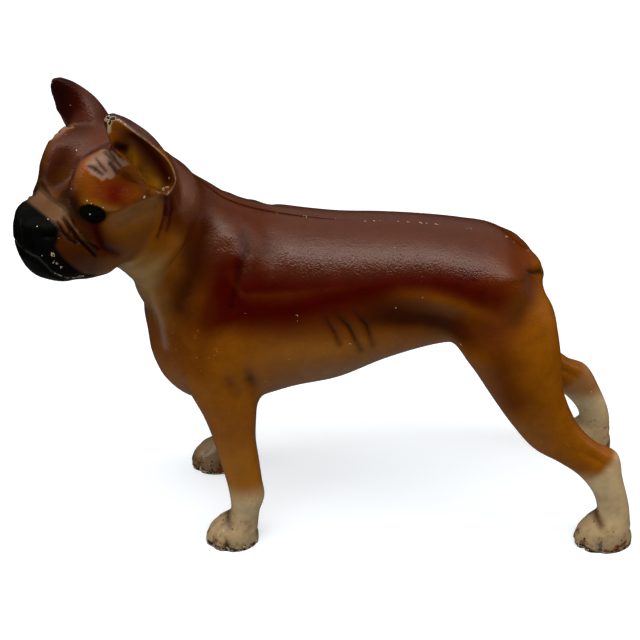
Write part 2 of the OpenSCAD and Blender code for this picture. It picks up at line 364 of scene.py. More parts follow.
@dataclass(frozen=True)
class Stroke:
    """A groove pressed into the skin along a line of points, or a ridge where its depth is negative.

    The depth is given at each point and falls off with the distance from the line as a bell. The heed says
    how much X, Y and Z count in that distance, so that a stroke seen from one side can follow the skin.
    """

    points: tuple[Point, ...]
    width: float
    depth: float | tuple[float, ...] = 0.0
    heed: Point = (1.0, 1.0, 1.0)

    def flipped(self) -> "Stroke":
        """The same stroke on the other side of the mid plane."""
        return Stroke(tuple((x, -y, z) for x, y, z in self.points), self.width, self.depth, self.heed)

    def box(self) -> tuple[Array, Array]:
        """Corners of the box that the stroke can change, with more room along an axis it doesn't heed.

        Returns:
            The lowest and the highest corner.
        """
        p = np.array(self.points)
        room = np.where(np.array(self.heed) < 0.5, LOOSE_ROOM, BELL_WIDTHS * self.width)
        return p.min(0) - room, p.max(0) + room

    def depths(self) -> tuple[float, ...]:
        """The depth at each point."""
        return self.depth if isinstance(self.depth, tuple) else (self.depth,) * len(self.points)

    def trace(self, x: Array, y: Array, z: Array) -> tuple[Array, Array]:
        """Distance from places to the line and the depth at the nearest point of it.

        Args:
            x: X of the places.
            y: Y of the places.
            z: Z of the places.

        Returns:
            The distance, the least over the line's straight stretches, and the depth there.
        """
        hx, hy, hz = self.heed
        best = depth = None
        d = self.depths()
        for i, (a, b) in enumerate(zip(self.points[:-1], self.points[1:])):
            ux, uy, uz = (b[0] - a[0]) * hx, (b[1] - a[1]) * hy, (b[2] - a[2]) * hz
            dx, dy, dz = (x - a[0]) * hx, (y - a[1]) * hy, (z - a[2]) * hz
            t = np.clip((dx * ux + dy * uy + dz * uz) / (ux**2 + uy**2 + uz**2), 0.0, 1.0)
            d2 = (dx - t * ux)**2 + (dy - t * uy)**2 + (dz - t * uz)**2
            here = d[i] + t * (d[i + 1] - d[i])
            if best is None:
                best, depth = d2, here
            else:
                depth = np.where(d2 < best, here, depth)
                best = np.minimum(best, d2)
        return np.sqrt(best), depth

    def press(self, x: Array, y: Array, z: Array) -> Array:
        """How far the skin is pressed in at places."""
        distance, depth = self.trace(x, y, z)
        return depth * bell(distance, self.width)

    def mask(self, p: Array, width: float | None = None) -> Array:
        """Bell of the distance from points to the line, for paint as wide as the stroke or as given."""
        return bell(self.trace(*p.T)[0], width or self.width)


@dataclass(frozen=True)
class Seat:
    """Sunk seat of a screw head in the right flank of the straight figure."""

    x: float
    z: float
    floor: float
    radius: float = 5.2
    reach: float = 0.5

    def box(self) -> tuple[Point, Point]:
        """Corners of a box that holds the seat and what lies outside it."""
        r = self.radius + 3.0
        return (self.x - r, self.floor - 3.0, self.z - r), (self.x + r, self.floor + 20.0, self.z + r)

    def field(self, x: Array, y: Array, z: Array) -> Array:
        """Distance from the drilled seat: past its wall, or below its floor.

        Args:
            x: X of the places.
            y: Y of the places.
            z: Z of the places.

        Returns:
            The distance, negative in the seat.
        """
        return np.maximum(np.hypot(x - self.x, z - self.z) - self.radius, self.floor - y)


Solid = Loft | Bulge
Tool = Loft | Bulge | Seat


@dataclass(frozen=True)
class Trunk:
    """Rump, loin, ribs, chest and neck, with the docked tail."""

    withers: float = 151.0
    back: float = 141.0
    croup: float = 134.0
    brisket: float = 61.0
    flank: float = 90.0
    chest_w: float = 65.0
    loin_w: float = 55.0
    neck_w: float = 42.0
    crown: float = CROWN

    def barrel(self) -> Loft:
        """Rows from the rump to the head: top edge, bottom edge, middle, half width.

        Returns:
            The loft of the trunk and neck.
        """
        lo, ch, ne = self.loin_w / 2, self.chest_w / 2, self.neck_w / 2
        return Loft((
            (84.8, self.croup - 18, 84, self.flank + 18, 0, 4),
            (83, self.croup - 13, 83, self.flank + 10, 0, lo - 14),
            (77, self.croup - 7.3, 78, self.flank + 5, 0, lo - 6.5),
            (66, self.croup + 0.2, 66, self.flank + 2.5, 0, lo - 1.5),
            (52, self.croup + 3, 52, self.flank - 0.5, 0, lo + 0.5),
            (36, self.back - 1.5, 37, self.flank - 3.5, 0, lo),
            (18, self.back - 0.2, 19, self.flank - 9.5, 0, (lo + ch) / 2 - 1),
            (0, self.back + 0.5, 0, self.brisket + 10.7, 0, ch - 2),
            (-18, self.back + 2.6, -18, self.brisket + 6.8, 0, ch - 0.5),
            (-34, self.withers - 4.2, -36, self.brisket + 1, 0, ch),
            (-45, self.withers - 0.2, -53, self.brisket - 0.5, 0, ch - 1.5),
            (-53, self.withers + 5.3, -67, self.brisket + 5, 0, (ch + ne) / 2 + 1.5),
            (-58.5, self.withers + 10.5, -76, self.brisket + 20, 0, ne + 3),
            (-63, self.withers + 16.5, -80.5, self.brisket + 42, 0, ne),
            (-69, self.withers + 22, -87, self.brisket + 60, 0, ne - 1.5),
            (-78, self.crown - 8, -97, self.crown - 54, 0, ne - 3)), 2.2, 8.0)

    def tail(self) -> Loft:
        """Rows of the docked tail from its tip into the rump.

        Returns:
            The loft of the tail.
        """
        return Loft((
            (85, self.croup - 16.5, 84, self.croup - 20.5, 0, 2),
            (83.8, self.croup - 13.5, 82.5, self.croup - 21.5, 0, 5),
            (79.5, self.croup - 9, 78.5, self.croup - 21, 0, 5.5)), 2.0, 4.0)

    def solids(self) -> Iterator[Solid]:
        """The barrel and the tail."""
        yield self.barrel()
        yield self.tail()


@dataclass(frozen=True)
class Head:
    """Skull, brows, muzzle, cheeks and ears, laid out looking straight ahead."""

    crown: float = CROWN
    skull_w: float = 48.0
    muzzle_w: float = 35.0
    stop_x: float = -117.0
    nose_x: float = -135.5
    ear_top: float = 208.0
    ear_rim: float = 2.2

    def skull(self) -> Loft:
        """Rows from the occiput to the brow.

        Returns:
            The loft of the skull.
        """
        c, w = self.crown, self.skull_w / 2
        return Loft((
            (-72, c - 14, -72, c - 36, 0, w - 16),
            (-78, c - 6, -78, c - 44, 0, w - 7),
            (-88, c - 1, -88, c - 50, 0, w - 2),
            (-98, c, -98, c - 52, 0, w),
            (-108, c - 0.5, -108, c - 51, 0, w - 0.5),
            (self.stop_x + 1, c - 5, self.stop_x + 1, c - 50, 0, w - 2),
            (self.stop_x - 4, c - 13, self.stop_x - 4, c - 46, 0, w - 6)), 2.7, 5.0)

    def muzzle(self) -> Loft:
        """Rows from inside the skull to the nose.

        Returns:
            The loft of the muzzle.
        """
        c, w, s, n = self.crown, self.muzzle_w / 2, self.stop_x, self.nose_x
        return Loft((
            (s + 13, c - 19, s + 13, c - 47, 0, w - 2),
            (s + 3, c - 16.5, s + 3, c - 51, 0, w - 0.5),
            (s - 5, c - 17, s - 5, c - 51.5, 0, w),
            (n + 7, c - 18.5, n + 7, c - 49, 0, w - 2.5),
            (n + 2.5, c - 20.8, n + 2.5, c - 45.5, 0, w - 6),
            (n, c - 23.5, n, c - 39, 0, w - 10.5)), 2.1, 4.0)

    def ear(self) -> Loft:
        """Rows of the left ear from its tip down: front edge, rear edge, middle, half thickness.

        Returns:
            The loft of the ear.
        """
        t, y = self.ear_top, -self.skull_w / 2 + 4
        return Loft((
            (-108.6, t, -104, t - 0.5, y + 1, 1),
            (-109, t - 3, -98.3, t - 4.2, y + 0.5, 2.8),
            (-108, t - 8, -90.3, t - 12, y - 0.5, 5),
            (-106, t - 13.5, -83.8, t - 22.2, y - 1, 7),
            (-103, t - 19, -80.4, t - 32.5, y, 8),
            (-100, t - 28, -82, t - 40, y + 3, 8)), 2.0, 3.0)

    def ear_cup(self) -> Loft:
        """Rows of the left ear's hollow, opened outwards and, near the tip, to the front edge too.

        Returns:
            The loft that is cut from the ear.
        """
        r, t, y = self.ear_rim, self.ear_top, -self.skull_w / 2 + 4
        return Loft((
            (-107.5, t - 2.2, -104, t - 2.5, y - 2.5, 1),
            (-109.5, t - 6, -99.8 - r / 2, t - 5.2 - r / 2, y - 3.5, 3),
            (-110, t - 10.5, -91.8 - r / 2, t - 13 - r / 2, y - 4.5, 5),
            (-103.5, t - 17, -84.8 - r / 2, t - 23.2, y - 4.5, 6.5),
            (-98, t - 25, -81.8 - r / 2, t - 32.6, y - 3.5, 7),
            (-93, t - 33.5, -85 - r / 2, t - 36.5, y - 3.5, 5)), 2.0, 1.2)

    def solids(self) -> Iterator[Solid]:
        """Everything that is melted together; the ears come apart from these."""
        yield self.skull()
        yield self.muzzle()


@dataclass(frozen=True)
class Legs:
    """A front and a hind leg with their paws; lead and trail set the right ones on and back."""

    side: Side
    front_y: float = 27.5
    hind_y: float = 35.0
    front_w: float = 7.0
    hind_w: float = 7.0
    paw_w: float = 9.6
    right_lead: float = 6.0
    right_trail: float = 6.0
    front_heel: float = -33.5
    front_len: float = 22.0
    front_paw_h: float = 12.5
    hind_heel: float = 128.5
    hind_len: float = 24.5
    hind_paw_h: float = 15.0

    def lead(self) -> float:
        """How far the front leg stands forward."""
        return self.right_lead if self.side is Side.RIGHT else 0.0

    def trail(self) -> float:
        """How far the hind paw stands back."""
        return self.right_trail if self.side is Side.RIGHT else 0.0

    def foreleg(self) -> Loft:
        """Rows from the shoulder to the paw: front edge, back edge, middle, half thickness.

        Returns:
            The leg's loft.
        """
        g, w, f = self.side.value, self.front_w, self.lead()
        y = g * self.front_y
        return Loft((
            (-56, 134, -36, 134, y - g * 14, w),
            (-62, 114, -31, 116, y - g * 8, w + 3.5),
            (-65.5 - f * 0.2, 92, -32, 96, y - g * 4, w + 4.5),
            (-62 - f * 0.4, 78, -34 - f * 0.2, 80, y - g * 2, w + 3.5),
            (-56.5 - f * 0.6, 66, -34.5 - f * 0.4, 66, y - g * 0.5, w + 2),
            (-52.5 - f * 0.7, 54, -34.7 - f * 0.6, 54, y, w + 1),
            (-49.5 - f * 0.8, 42, -33.2 - f * 0.8, 42, y, w + 0.2),
            (-46.8 - f, 31, -31.8 - f, 31, y, w - 0.2),
            (-45.6 - f, 24, -30.8 - f, 24, y, w),
            (-45 - f, 17, -32.8 - f, 16, y, w - 0.6),
            (-46 - f, 9, -33.5 - f, 7, y, w)), 2.2, 8.0)

    def hindleg(self) -> Loft:
        """Rows from the rump to the paw: front edge, back edge, middle, half thickness.

        Returns:
            The leg's loft.
        """
        g, w, t = self.side.value, self.hind_w, self.trail()
        y = g * self.hind_y
        return Loft((
            (54, 122, 76, 124, y - g * 22, w),
            (44, 106, 85.5, 113, y - g * 15, w + 5),
            (47, 97, 88.5, 102, y - g * 10, w + 6),
            (55, 86, 90.5, 90, y - g * 7, w + 5),
            (62, 75.5, 92, 78, y - g * 5, w + 3.5),
            (71, 62.5, 96.5, 66.5, y - g * 3.5, w + 1.5),
            (81, 50.5, 102, 57.5, y - g * 2.5, w),
            (92, 43.5, 110, 50, y - g * 2, w - 0.7),
            (101.5 + t * 0.3, 36.5, 118.3 + t * 0.1, 45.5, y - g * 1.5, w - 0.7),
            (108.5 + t * 0.7, 28, 121.5 + t * 0.7, 34, y - g, w - 0.8),
            (112 + t, 19.5, 125.5 + t, 21, y - g * 0.5, w - 1),
            (113 + t, 10, 127.5 + t, 10, y, w - 0.5)), 2.2, 8.0)

    def paw(self, heel: float, length: float, height: float, y: float) -> Loft:
        """Rows of a paw from heel to toe; it runs on below the floor, where the sole is cut flat.

        Args:
            heel: X of the back of the paw.
            length: From heel to toe.
            height: Of the knuckles.
            y: Middle of the paw.

        Returns:
            The paw's loft.
        """
        w, keel = self.paw_w, -6.0
        shape = ((0.0, 0.3, 0.27), (0.08, 0.62, 0.56), (0.27, 0.92, 0.89), (0.5, 1.0, 1.0),
                 (0.74, 0.84, 0.88), (0.92, 0.55, 0.56), (1.0, 0.25, 0.27))
        rows = tuple((heel - length * a, height * b, heel - length * a, keel, y, w * c) for a, b, c in shape)
        return Loft(rows, 2.4, 4.0)

    def solids(self) -> Iterator[Solid]:
        """The two legs and the two paws.

        Yields:
            The lofts.
        """
        g = self.side.value
        yield self.foreleg()
        yield self.hindleg()
        yield self.paw(self.front_heel - self.lead(), self.front_len, self.front_paw_h, g * self.front_y)
        yield self.paw(self.hind_heel + self.trail(), self.hind_len, self.hind_paw_h, g * self.hind_y)


@dataclass
class Skin:
    """A closed mesh of the straight figure: places in mm and faces of four corners."""

    places: Array
    faces: Array


def net(values: Array, lattice: Lattice) -> Skin:
    """Skin of a field where it passes zero, one vertex in each grid cell that the skin crosses.

    A vertex is the mean of the crossings on its cell's edges, and each grid edge that the skin crosses
    gives a face through the four cells round it.

    Args:
        values: The field on the grid, negative inside.
        lattice: The grid.

    Returns:
        The skin, facing outwards.
    """
    axes = (lattice.x, lattice.y, lattice.z)
    inside = values < 0
    size = np.array(values.shape) - 1
    count = np.zeros(size, dtype=np.int8)
    for o in itertools.product((0, 1), repeat=3):
        count += inside[tuple(slice(k, k + n) for k, n in zip(o, size))]
    active = (count > 0) & (count < 8)
    cells = np.argwhere(active)
    number = np.full(active.shape, -1, dtype=np.int64)
    number[active] = np.arange(len(cells))
    total = np.zeros((len(cells), 3))
    hits = np.zeros(len(cells))
    for axis in range(3):
        others = [k for k in range(3) if k != axis]
        for o in itertools.product((0, 1), repeat=2):
            a = cells.copy()
            a[:, others] += o
            b = a.copy()
            b[:, axis] += 1
            fa, fb = values[tuple(a.T)], values[tuple(b.T)]
            crossed = (fa < 0) != (fb < 0)
            t = np.where(crossed, fa / np.where(crossed, fa - fb, 1.0), 0.0)
            place = np.stack([axes[k][a[:, k]] for k in range(3)], axis=1)
            place[:, axis] += t * (axes[axis][b[:, axis]] - axes[axis][a[:, axis]])
            total += place * crossed[:, None]
            hits += crossed
    faces = []
    for axis in range(3):
        u, v = (axis + 1) % 3, (axis + 2) % 3
        first = [slice(1, -1)] * 3
        second = [slice(1, -1)] * 3
        first[axis], second[axis] = slice(0, -1), slice(1, None)
        goes_out = inside[tuple(first)] & ~inside[tuple(second)]
        comes_in = ~inside[tuple(first)] & inside[tuple(second)]
        for mask, order in ((goes_out, (0, 1, 2, 3)), (comes_in, (3, 2, 1, 0))):
            e = np.argwhere(mask)
            e[:, [u, v]] += 1
            ring = []
            for du, dv in ((-1, -1), (0, -1), (0, 0), (-1, 0)):
                c = e.copy()
                c[:, u] += du
                c[:, v] += dv
                ring.append(number[tuple(c.T)])
            faces.append(np.stack([ring[k] for k in order], axis=1))
    return Skin(total / hits[:, None], np.concatenate(faces))


def sample(values: Array, lattice: Lattice, p: Array) -> Array:
    """Field at points inside the grid, straight between its eight neighbours.

    Args:
        values: The field on the grid.
        lattice: The grid.
        p: Points, (n, 3).

    Returns:
        The field there, (n,).
    """
    low, part = [], []
    for k, places in enumerate((lattice.x, lattice.y, lattice.z)):
        i = np.clip(np.searchsorted(places, p[:, k]) - 1, 0, len(places) - 2)
        low.append(i)
        part.append(np.clip((p[:, k] - places[i]) / (places[i + 1] - places[i]), 0.0, 1.0))
    total = np.zeros(len(p))
    for o in itertools.product((0, 1), repeat=3):
        weight = np.ones(len(p))
        for k in range(3):
            weight = weight * (part[k] if o[k] else 1.0 - part[k])
        total += weight * values[low[0] + o[0], low[1] + o[1], low[2] + o[2]]
    return total


def slope(values: Array, lattice: Lattice, p: Array, step: float) -> tuple[Array, Array]:
    """Slope and swell of the field at points, by differences over a step to each side.

    Args:
        values: The field on the grid.
        lattice: The grid.
        p: Points, (n, 3).
        step: How far to each side.

    Returns:
        The gradient, and the sum of the second differences over step^2: positive on a bulge, negative in a
        crease, and about 2/r on a ball.
    """
    here = sample(values, lattice, p)
    g, swell = np.zeros_like(p), np.zeros(len(p))
    for k in range(3):
        d = np.zeros(3)
        d[k] = step
        ahead, behind = sample(values, lattice, p + d), sample(values, lattice, p - d)
        g[:, k] = (ahead - behind) / (2 * step)
        swell += (ahead + behind - 2 * here) / step**2
    return g, swell


@dataclass(frozen=True)
class Relief:
    """The modelled detail of the casting, given on the left side and mirrored for the right.

    A stroke without a depth is only painted along, and a ridge has a depth below nothing.
    """

    stop_cut: Bulge = Bulge((-124, 0, 179), (11, 6.5, 8.5), reach=7.0)
    dome: Stroke = Stroke(
        ((-98, -14, 187.5), (-106, -13.5, 187), (-112.5, -11.5, 184.5), (-117, -11, 179.5)), 7.5,
        (-3.0, -5.5, -5.0, -1.8))
    furrow: Stroke = Stroke(
        ((-92, 0, 187), (-101, 0, 187), (-107, 0, 186), (-113, 0, 184)), 5.5,
        (0.5, 2.0, 3.5, 4.5), FROM_ABOVE)
    furrow_line: Stroke = Stroke(((-93, 0, 186), (-104, 0, 184), (-111, 0, 181), (-114, 0, 176)), 1.3, 0.8)
    dome_edge: Stroke = Stroke(
        ((-101, -10, 190.5), (-108, -7, 188), (-114, -4.5, 183.5), (-119, -6, 177)), 3.4)
    socket: Stroke = Stroke(((-118.8, -17, 170.8), (-114, -21.5, 168.5)), 5.0, (2.0, 2.6))
    eye: Bulge = Bulge((-114.1, -16.9, 169.3), (5.0, 3.5, 4.4), (0.73, -0.61, -0.29), (-0.6, -0.75, 0.3), 0.4)
    right_eye_inset: float = 1.5
    flap_notch: Stroke = Stroke(
        ((-108, -17, 194.5), (-104, -18.5, 192), (-100, -20, 188.5)), 2.4, (1.5, 2.6, 1.0))
    wrinkles: tuple[Stroke, ...] = (
        Stroke(((-113.3, -13.4, 186.6), (-111.6, -15.6, 185.7), (-110.2, -17.8, 184.3)), 1.0,
               (0.6, 1.3, 0.6)),
        Stroke(((-109.7, -13.2, 188.6), (-109.5, -15.9, 186.9), (-108.5, -17.9, 185.2)), 0.8,
               (0.5, 1.0, 0.5)),
        Stroke(((-105.7, -12.9, 190.2), (-104.7, -16.7, 189.1), (-103.4, -19.5, 186.9)), 1.0,
               (0.6, 1.3, 0.6)),
        Stroke(((-106.1, -17.4, 187.3), (-104.6, -19.1, 184.1)), 0.8, 0.9))
    brow_edge: Stroke = Stroke(
        ((-111.3, -20.8, 169.7), (-106.9, -23, 170.3), (-101.8, -24, 172), (-96.2, -23.3, 172.2),
         (-86.4, -21.6, 171.7)), 1.3, (0.2, 0.4, 0.4, 0.5, 0.4))
    brow_swell: Stroke = Stroke(((-110, -21.5, 174.5), (-104, -22.5, 172.5), (-97, -22.5, 174.5)), 3.5, -1.0)
    under_brow: Stroke = Stroke(((-106, -22.5, 164), (-97, -23, 166), (-91, -21.5, 166)), 4.0, 1.2)
    creases: tuple[Stroke, ...] = (
        Stroke(((-126.1, -11.1, 165.8), (-125.4, -13.4, 163.1), (-123.9, -15.8, 159.9),
                (-122.3, -17.1, 158.9)), 0.7, (0.3, 1.3, 1.2, 0.3)),
        Stroke(((-123.7, -11.5, 166.7), (-122.7, -13.9, 164.1), (-121.3, -16.9, 160.4), (-119, -19.3, 157.2),
                (-116.5, -21.1, 153.4)), 0.75, (0.2, 1.0, 1.4, 1.3, 0.4)),
        Stroke(((-121.1, -12.3, 167.6), (-121, -15.4, 164.6), (-120.5, -17.9, 162.6), (-118.2, -20.6, 159.2),
                (-115.3, -22, 155.9)), 0.7, (0.3, 1.1, 1.1, 0.9, 0.3)))
    crease_ridges: tuple[Stroke, ...] = (
        Stroke(((-125, -10.1, 167.4), (-124.7, -12.3, 166), (-124.3, -14.1, 163.1)), 0.9, (-0.3, -0.7, -0.3)),
        Stroke(((-122.1, -10.8, 168.6), (-121.8, -14, 165.4), (-121.3, -16.8, 163.5), (-119.4, -19.2, 160.7),
                (-116.8, -21.5, 158.1)), 0.8, (-0.3, -0.7, -0.7, -0.6, -0.2)))
    under_eye: Stroke = Stroke(
        ((-116.1, -19.6, 165.9), (-114.7, -21.5, 160.5), (-113.5, -22.4, 156.6), (-107.9, -22.5, 151.7)), 2.0,
        (0.5, 1.3, 1.3, 0.5))
    lip: Stroke = Stroke(
        ((-136, 0, 152.6), (-135.6, -5.1, 153.2), (-133.8, -9.2, 152.7), (-131.8, -11, 149.7),
         (-129.3, -11.4, 145.7), (-125.6, -11, 142.1)), 0.9, 1.2)
    philtrum: Stroke = Stroke(((-135.5, 0, 166), (-136, 0, 160), (-136, 0, 152.5)), 0.9, 0.8)
    nostril: Stroke = Stroke(
        ((-132, -9, 161.2), (-130, -12.2, 162), (-127.9, -13.6, 163.4)), 1.1, (0.6, 1.9, 1.2))
    nose: Bulge = Bulge((-123.5, 0, 162.6), (12.4, 14.3, 5.6), reach=1.0)
    lip_chips: tuple[Stroke, ...] = (
        Stroke(((-130.9, -13.4, 155.1), (-129.4, -14.3, 151.7), (-127.6, -14.8, 149.3)), 1.4),
        Stroke(((-127.9, -12.6, 145.7), (-122.7, -13.2, 142.7), (-119.5, -14.5, 143)), 1.8))
    # Painted highlights, each a place and a radius: two on the eye, four along the brow's edge and two on the
    # nose; one more is a pale chip at the brow's end.
    glints_and_chip: tuple[tuple[Point, float], ...] = (
        ((-116.9, -19.6, 170.5), 0.45), ((-115.7, -20.2, 170.7), 0.35), ((-116.9, -17.7, 175.2), 0.35),
        ((-115.7, -18.8, 174.2), 0.25), ((-112.2, -21.2, 172.6), 0.3), ((-108.4, -21.9, 169.9), 0.3),
        ((-95.5, -22.7, 172.7), 0.8), ((-132.8, -7.7, 164.8), 0.25), ((-128.5, -8.4, 166.9), 0.25))
    # Where painted shade lies at the eye's inner corner.
    eye_corner: Stroke = Stroke(
        ((-118.5, -3, 172.5), (-120.4, -10.5, 174.7), (-119.8, -13.5, 173.5), (-120, -14.2, 171.4),
         (-119.8, -15.6, 169.3), (-118.5, -18.2, 167.1), (-115.2, -20.3, 164.9)), 2.6)
    # Where painted shadow lies at the stop and down beside the eye.
    stop_dark: Stroke = Stroke(
        ((-117, 3, 174), (-118, -4, 175), (-119.6, -11.7, 176.3), (-119.5, -14.4, 172.7),
         (-119.7, -16, 168.8), (-119, -18.5, 165.5), (-117, -20.5, 162), (-113.5, -22, 156)), 5.52)
    # Where a painted highlight lies on the cheek below the brow.
    cheek_highlight: Stroke = Stroke(((-106, -23, 167), (-99.5, -23, 167.5), (-92, -22, 168.5)), 4.5)
    # Where a painted highlight runs along the brow's lower edge.
    brow_gold: Stroke = Stroke(
        ((-118, -16.5, 174.5), (-114.6, -19.7, 173.8), (-112.2, -21.1, 172.5), (-108, -22, 171)), 2.0)
    mouth: Stroke = Stroke(((-116.2, -14, 140.2), (-113.6, -18.1, 142.9), (-109.5, -18.5, 142.8)), 0.7)
    jaw_notch: Stroke = Stroke(
        ((-103.5, -21, 142.5), (-102.5, -14, 139.5), (-101, 0, 138)), 3.2, (2.4, 3.6, 3.0))
    # Where painted shade lies down the back of the ear's hollow.
    ear_hollow: Stroke = Stroke(
        ((-98.5, -21.4, 197.8), (-94.2, -21.5, 193.3), (-89.7, -20.6, 187.6), (-85.7, -20.1, 181.3),
         (-84, -20.1, 176.5)), 4.8)
    # Where painted light lies on the wall of the ear's hollow.
    ear_lit_wall: Stroke = Stroke(
        ((-99.7, -19.9, 194.1), (-98.4, -19.7, 188.9), (-95.2, -18.9, 182.8), (-90.7, -17.1, 177.3),
         (-88.2, -17.8, 174.5)), 2.7, (0.2, 0.5, 0.8, 1.2, 1.2))
    # Where painted shadow lies under the ear's front lobe.
    ear_fold: Stroke = Stroke(((-105.4, -20.6, 195.6), (-101.2, -19.7, 193.4)), 1.8)
    ear_front: Stroke = Stroke(((-107.8, -20.9, 205.6), (-108.1, -21.1, 204.3), (-108, -20.9, 202.2)), 0.6)
    ear_root: Stroke = Stroke(
        ((-83.2, -22.6, 177.1), (-83.9, -21.6, 173.7), (-85.8, -21, 171.9), (-90.3, -21.4, 172.4)), 1.5)
    neck_valley: Stroke = Stroke(
        ((-51.5, -7, 153.5), (-52.5, -12.5, 151), (-54.5, -17.5, 146), (-57.5, -22, 138.5), (-60, -24, 131),
         (-63.5, -24.5, 123), (-65.5, -24.5, 117)), 4.8, (0.0, 1.0, 2.4, 2.8, 2.6, 1.8, 0.6))
    blade: Stroke = Stroke(
        ((-39.5, -8.5, 147.5), (-39, -15, 143.5), (-39, -20.5, 138.5), (-42, -26, 131.5), (-45, -30.5, 120),
         (-47, -32, 115)), 2.6, (0.0, 1.1, 1.4, 1.2, 1.0, 0.3))
    ribs: tuple[Stroke, ...] = (
        Stroke(((-7.5, -31, 114), (-4.2, -31, 108), (-1.5, -30, 101)), 1.1, (0.1, 0.9, 0.1), SIDEWAYS),
        Stroke(((-4, -30, 116.5), (2, -30, 109), (7.5, -28, 97)), 1.1, (0.1, 1.3, 0.2), SIDEWAYS),
        Stroke(((4, -30, 116), (9.2, -30, 109), (12.3, -28, 99)), 1.1, (0.1, 1.4, 0.2), SIDEWAYS))
    flank_hollow: Stroke = Stroke(
        ((8, -29, 116), (23, -28.5, 114), (36, -27.5, 110), (44, -27, 103)), 7.5,
        (0.5, 1.6, 2.0, 1.4), SIDEWAYS)
    flank_fold: Stroke = Stroke(
        ((8, -29, 120.5), (22, -27, 121.5), (32, -26.5, 120.3), (42, -27.5, 118), (48, -28.5, 116),
         (54, -30, 113), (61, -31.5, 111)), 2.6, (0.0, -0.3, -0.5, -0.6, -0.6, -0.5, -0.2), SIDEWAYS)
    elbows: tuple[Stroke, ...] = (
        Stroke(((-46.5, -36, 91), (-45.5, -35, 86), (-43, -35, 80)), 2.4, (0.3, 0.9, 0.3), SIDEWAYS),
        Stroke(((-39, -34, 94), (-37.5, -33, 87), (-35.5, -32, 82), (-35, -30, 75)), 2.4,
               (0.3, 1.5, 0.9, 0.2), SIDEWAYS))
    thigh: Stroke = Stroke(((72, -40, 92), (72, -40, 82), (74, -40, 74)), 4.0, 0.9, SIDEWAYS)
    hock: Stroke = Stroke(((101, -39, 51), (108, -39, 47), (114, -39, 43)), 1.7, (0.6, 1.2, 0.8), SIDEWAYS)
    neck_creases: tuple[Stroke, ...] = (
        Stroke(((-84.5, -20, 167), (-85, -20, 160.5), (-89, -21.5, 153.5)), 1.5, (0.7, 1.3, 0.4)),
        Stroke(((-81.5, -19.5, 168), (-81.5, -20, 161), (-84, -20.5, 154)), 1.5, (0.5, 1.2, 0.4)))
    rear_blade: Stroke = Stroke(
        ((-29.5, -6, 145), (-29, -13.5, 142.5), (-29.5, -19.5, 138), (-29, -24.5, 132.5)), 3.4,
        (0.0, 1.2, 1.3, 0.4))
    shoulder_bump: Stroke = Stroke(((-46.5, -15, 146.5), (-46, -18, 144.5), (-46.5, -21, 140)), 3.6,
                                   (-0.5, -1.0, -0.6))
    neck_ridge: Stroke = Stroke(((-77.5, -18.5, 157.5), (-76.5, -19.5, 149), (-74, -20, 142)), 3.0,
                                (-0.5, -0.9, -0.4))
    chest_ridge: Stroke = Stroke(
        ((-76.5, -17.5, 119), (-75, -19.5, 114), (-72.5, -21, 106), (-71, -21, 96)), 2.2,
        (-0.3, -0.9, -0.9, -0.3))
    chest_groove: Stroke = Stroke(((-79, -12, 117), (-78.5, -14, 109), (-76.5, -15, 98)), 3.0,
                                  (0.6, 1.2, 0.5))
    throat_hollow: Stroke = Stroke(((-76, -17, 106), (-79.5, -8, 105.5), (-81, 0, 105)), 5.0, (1.0, 2.8, 2.6))
    chest_swell: Stroke = Stroke(((-76, -9, 97), (-74, -12, 90), (-68.5, -13, 81), (-61, -14, 74)), 9.0,
                                 (-0.8, -3.0, -3.6, -1.6))
    rump_corner: Stroke = Stroke(((68, -10, 132), (76, -9, 127.5)), 6.0, (0.6, 1.5))
    tail_notch: Stroke = Stroke(((76, -15.5, 125.5), (79.5, -12, 123), (83.5, -5, 119)), 1.3, (0.6, 1.8, 2.0))
    tail_lip: Stroke = Stroke(((77, -14, 127.5), (81, -8, 125), (83, -3, 122.5)), 2.0, -0.5)
    keel: Stroke = Stroke(((-83, 0, 112), (-79, 0, 101), (-73, 0, 88)), 4.0, (-0.6, -1.6, -0.8))
    throat_notch: Stroke = Stroke(((-84, -12, 117), (-85, 0, 118)), 4.5, 1.0, SIDEWAYS)
    seam_step: Stroke = Stroke(((-64, 3, 160), (-50, 3, 152), (-30, 3, 145), (-5, 3, 141)), 6.0,
                               (-0.2, -0.7, -0.7, -0.2), FROM_ABOVE)
    toe_turns: tuple[float, ...] = (-76.0, -36.0, 4.0, 44.0)
    toe_width: float = 1.2
    toe_steps: tuple[tuple[float, float, float], ...] = ((0.3, 1.0, 0.0), (0.8, 0.62, 0.5), (1.0, 0.0, 1.4))

    def strokes(self, side: Side) -> list[Stroke]:
        """Grooves and ridges of one side, the broad ones first.

        Args:
            side: The half casting.

        Returns:
            The strokes, on that side.
        """
        face = [self.jaw_notch, self.dome, self.brow_swell, self.under_brow, self.socket, self.brow_edge,
                *self.wrinkles, self.under_eye, *self.crease_ridges, *self.creases, self.lip, self.nostril]
        body = [self.neck_valley, self.blade, *self.ribs, self.flank_hollow, self.flank_fold, *self.elbows,
                self.thigh, self.hock, *self.neck_creases, self.rear_blade, self.shoulder_bump,
                self.neck_ridge, self.chest_ridge, self.chest_groove, self.throat_hollow,
                self.chest_swell, self.rump_corner]
        near = face + body + self.toes(side)
        if side is Side.RIGHT:
            near = [stroke.flipped() for stroke in near] + [self.seam_step]
        else:
            near += [self.flap_notch, self.tail_notch, self.tail_lip]
        return [self.furrow, self.furrow_line, self.philtrum, self.keel, self.throat_notch] + near

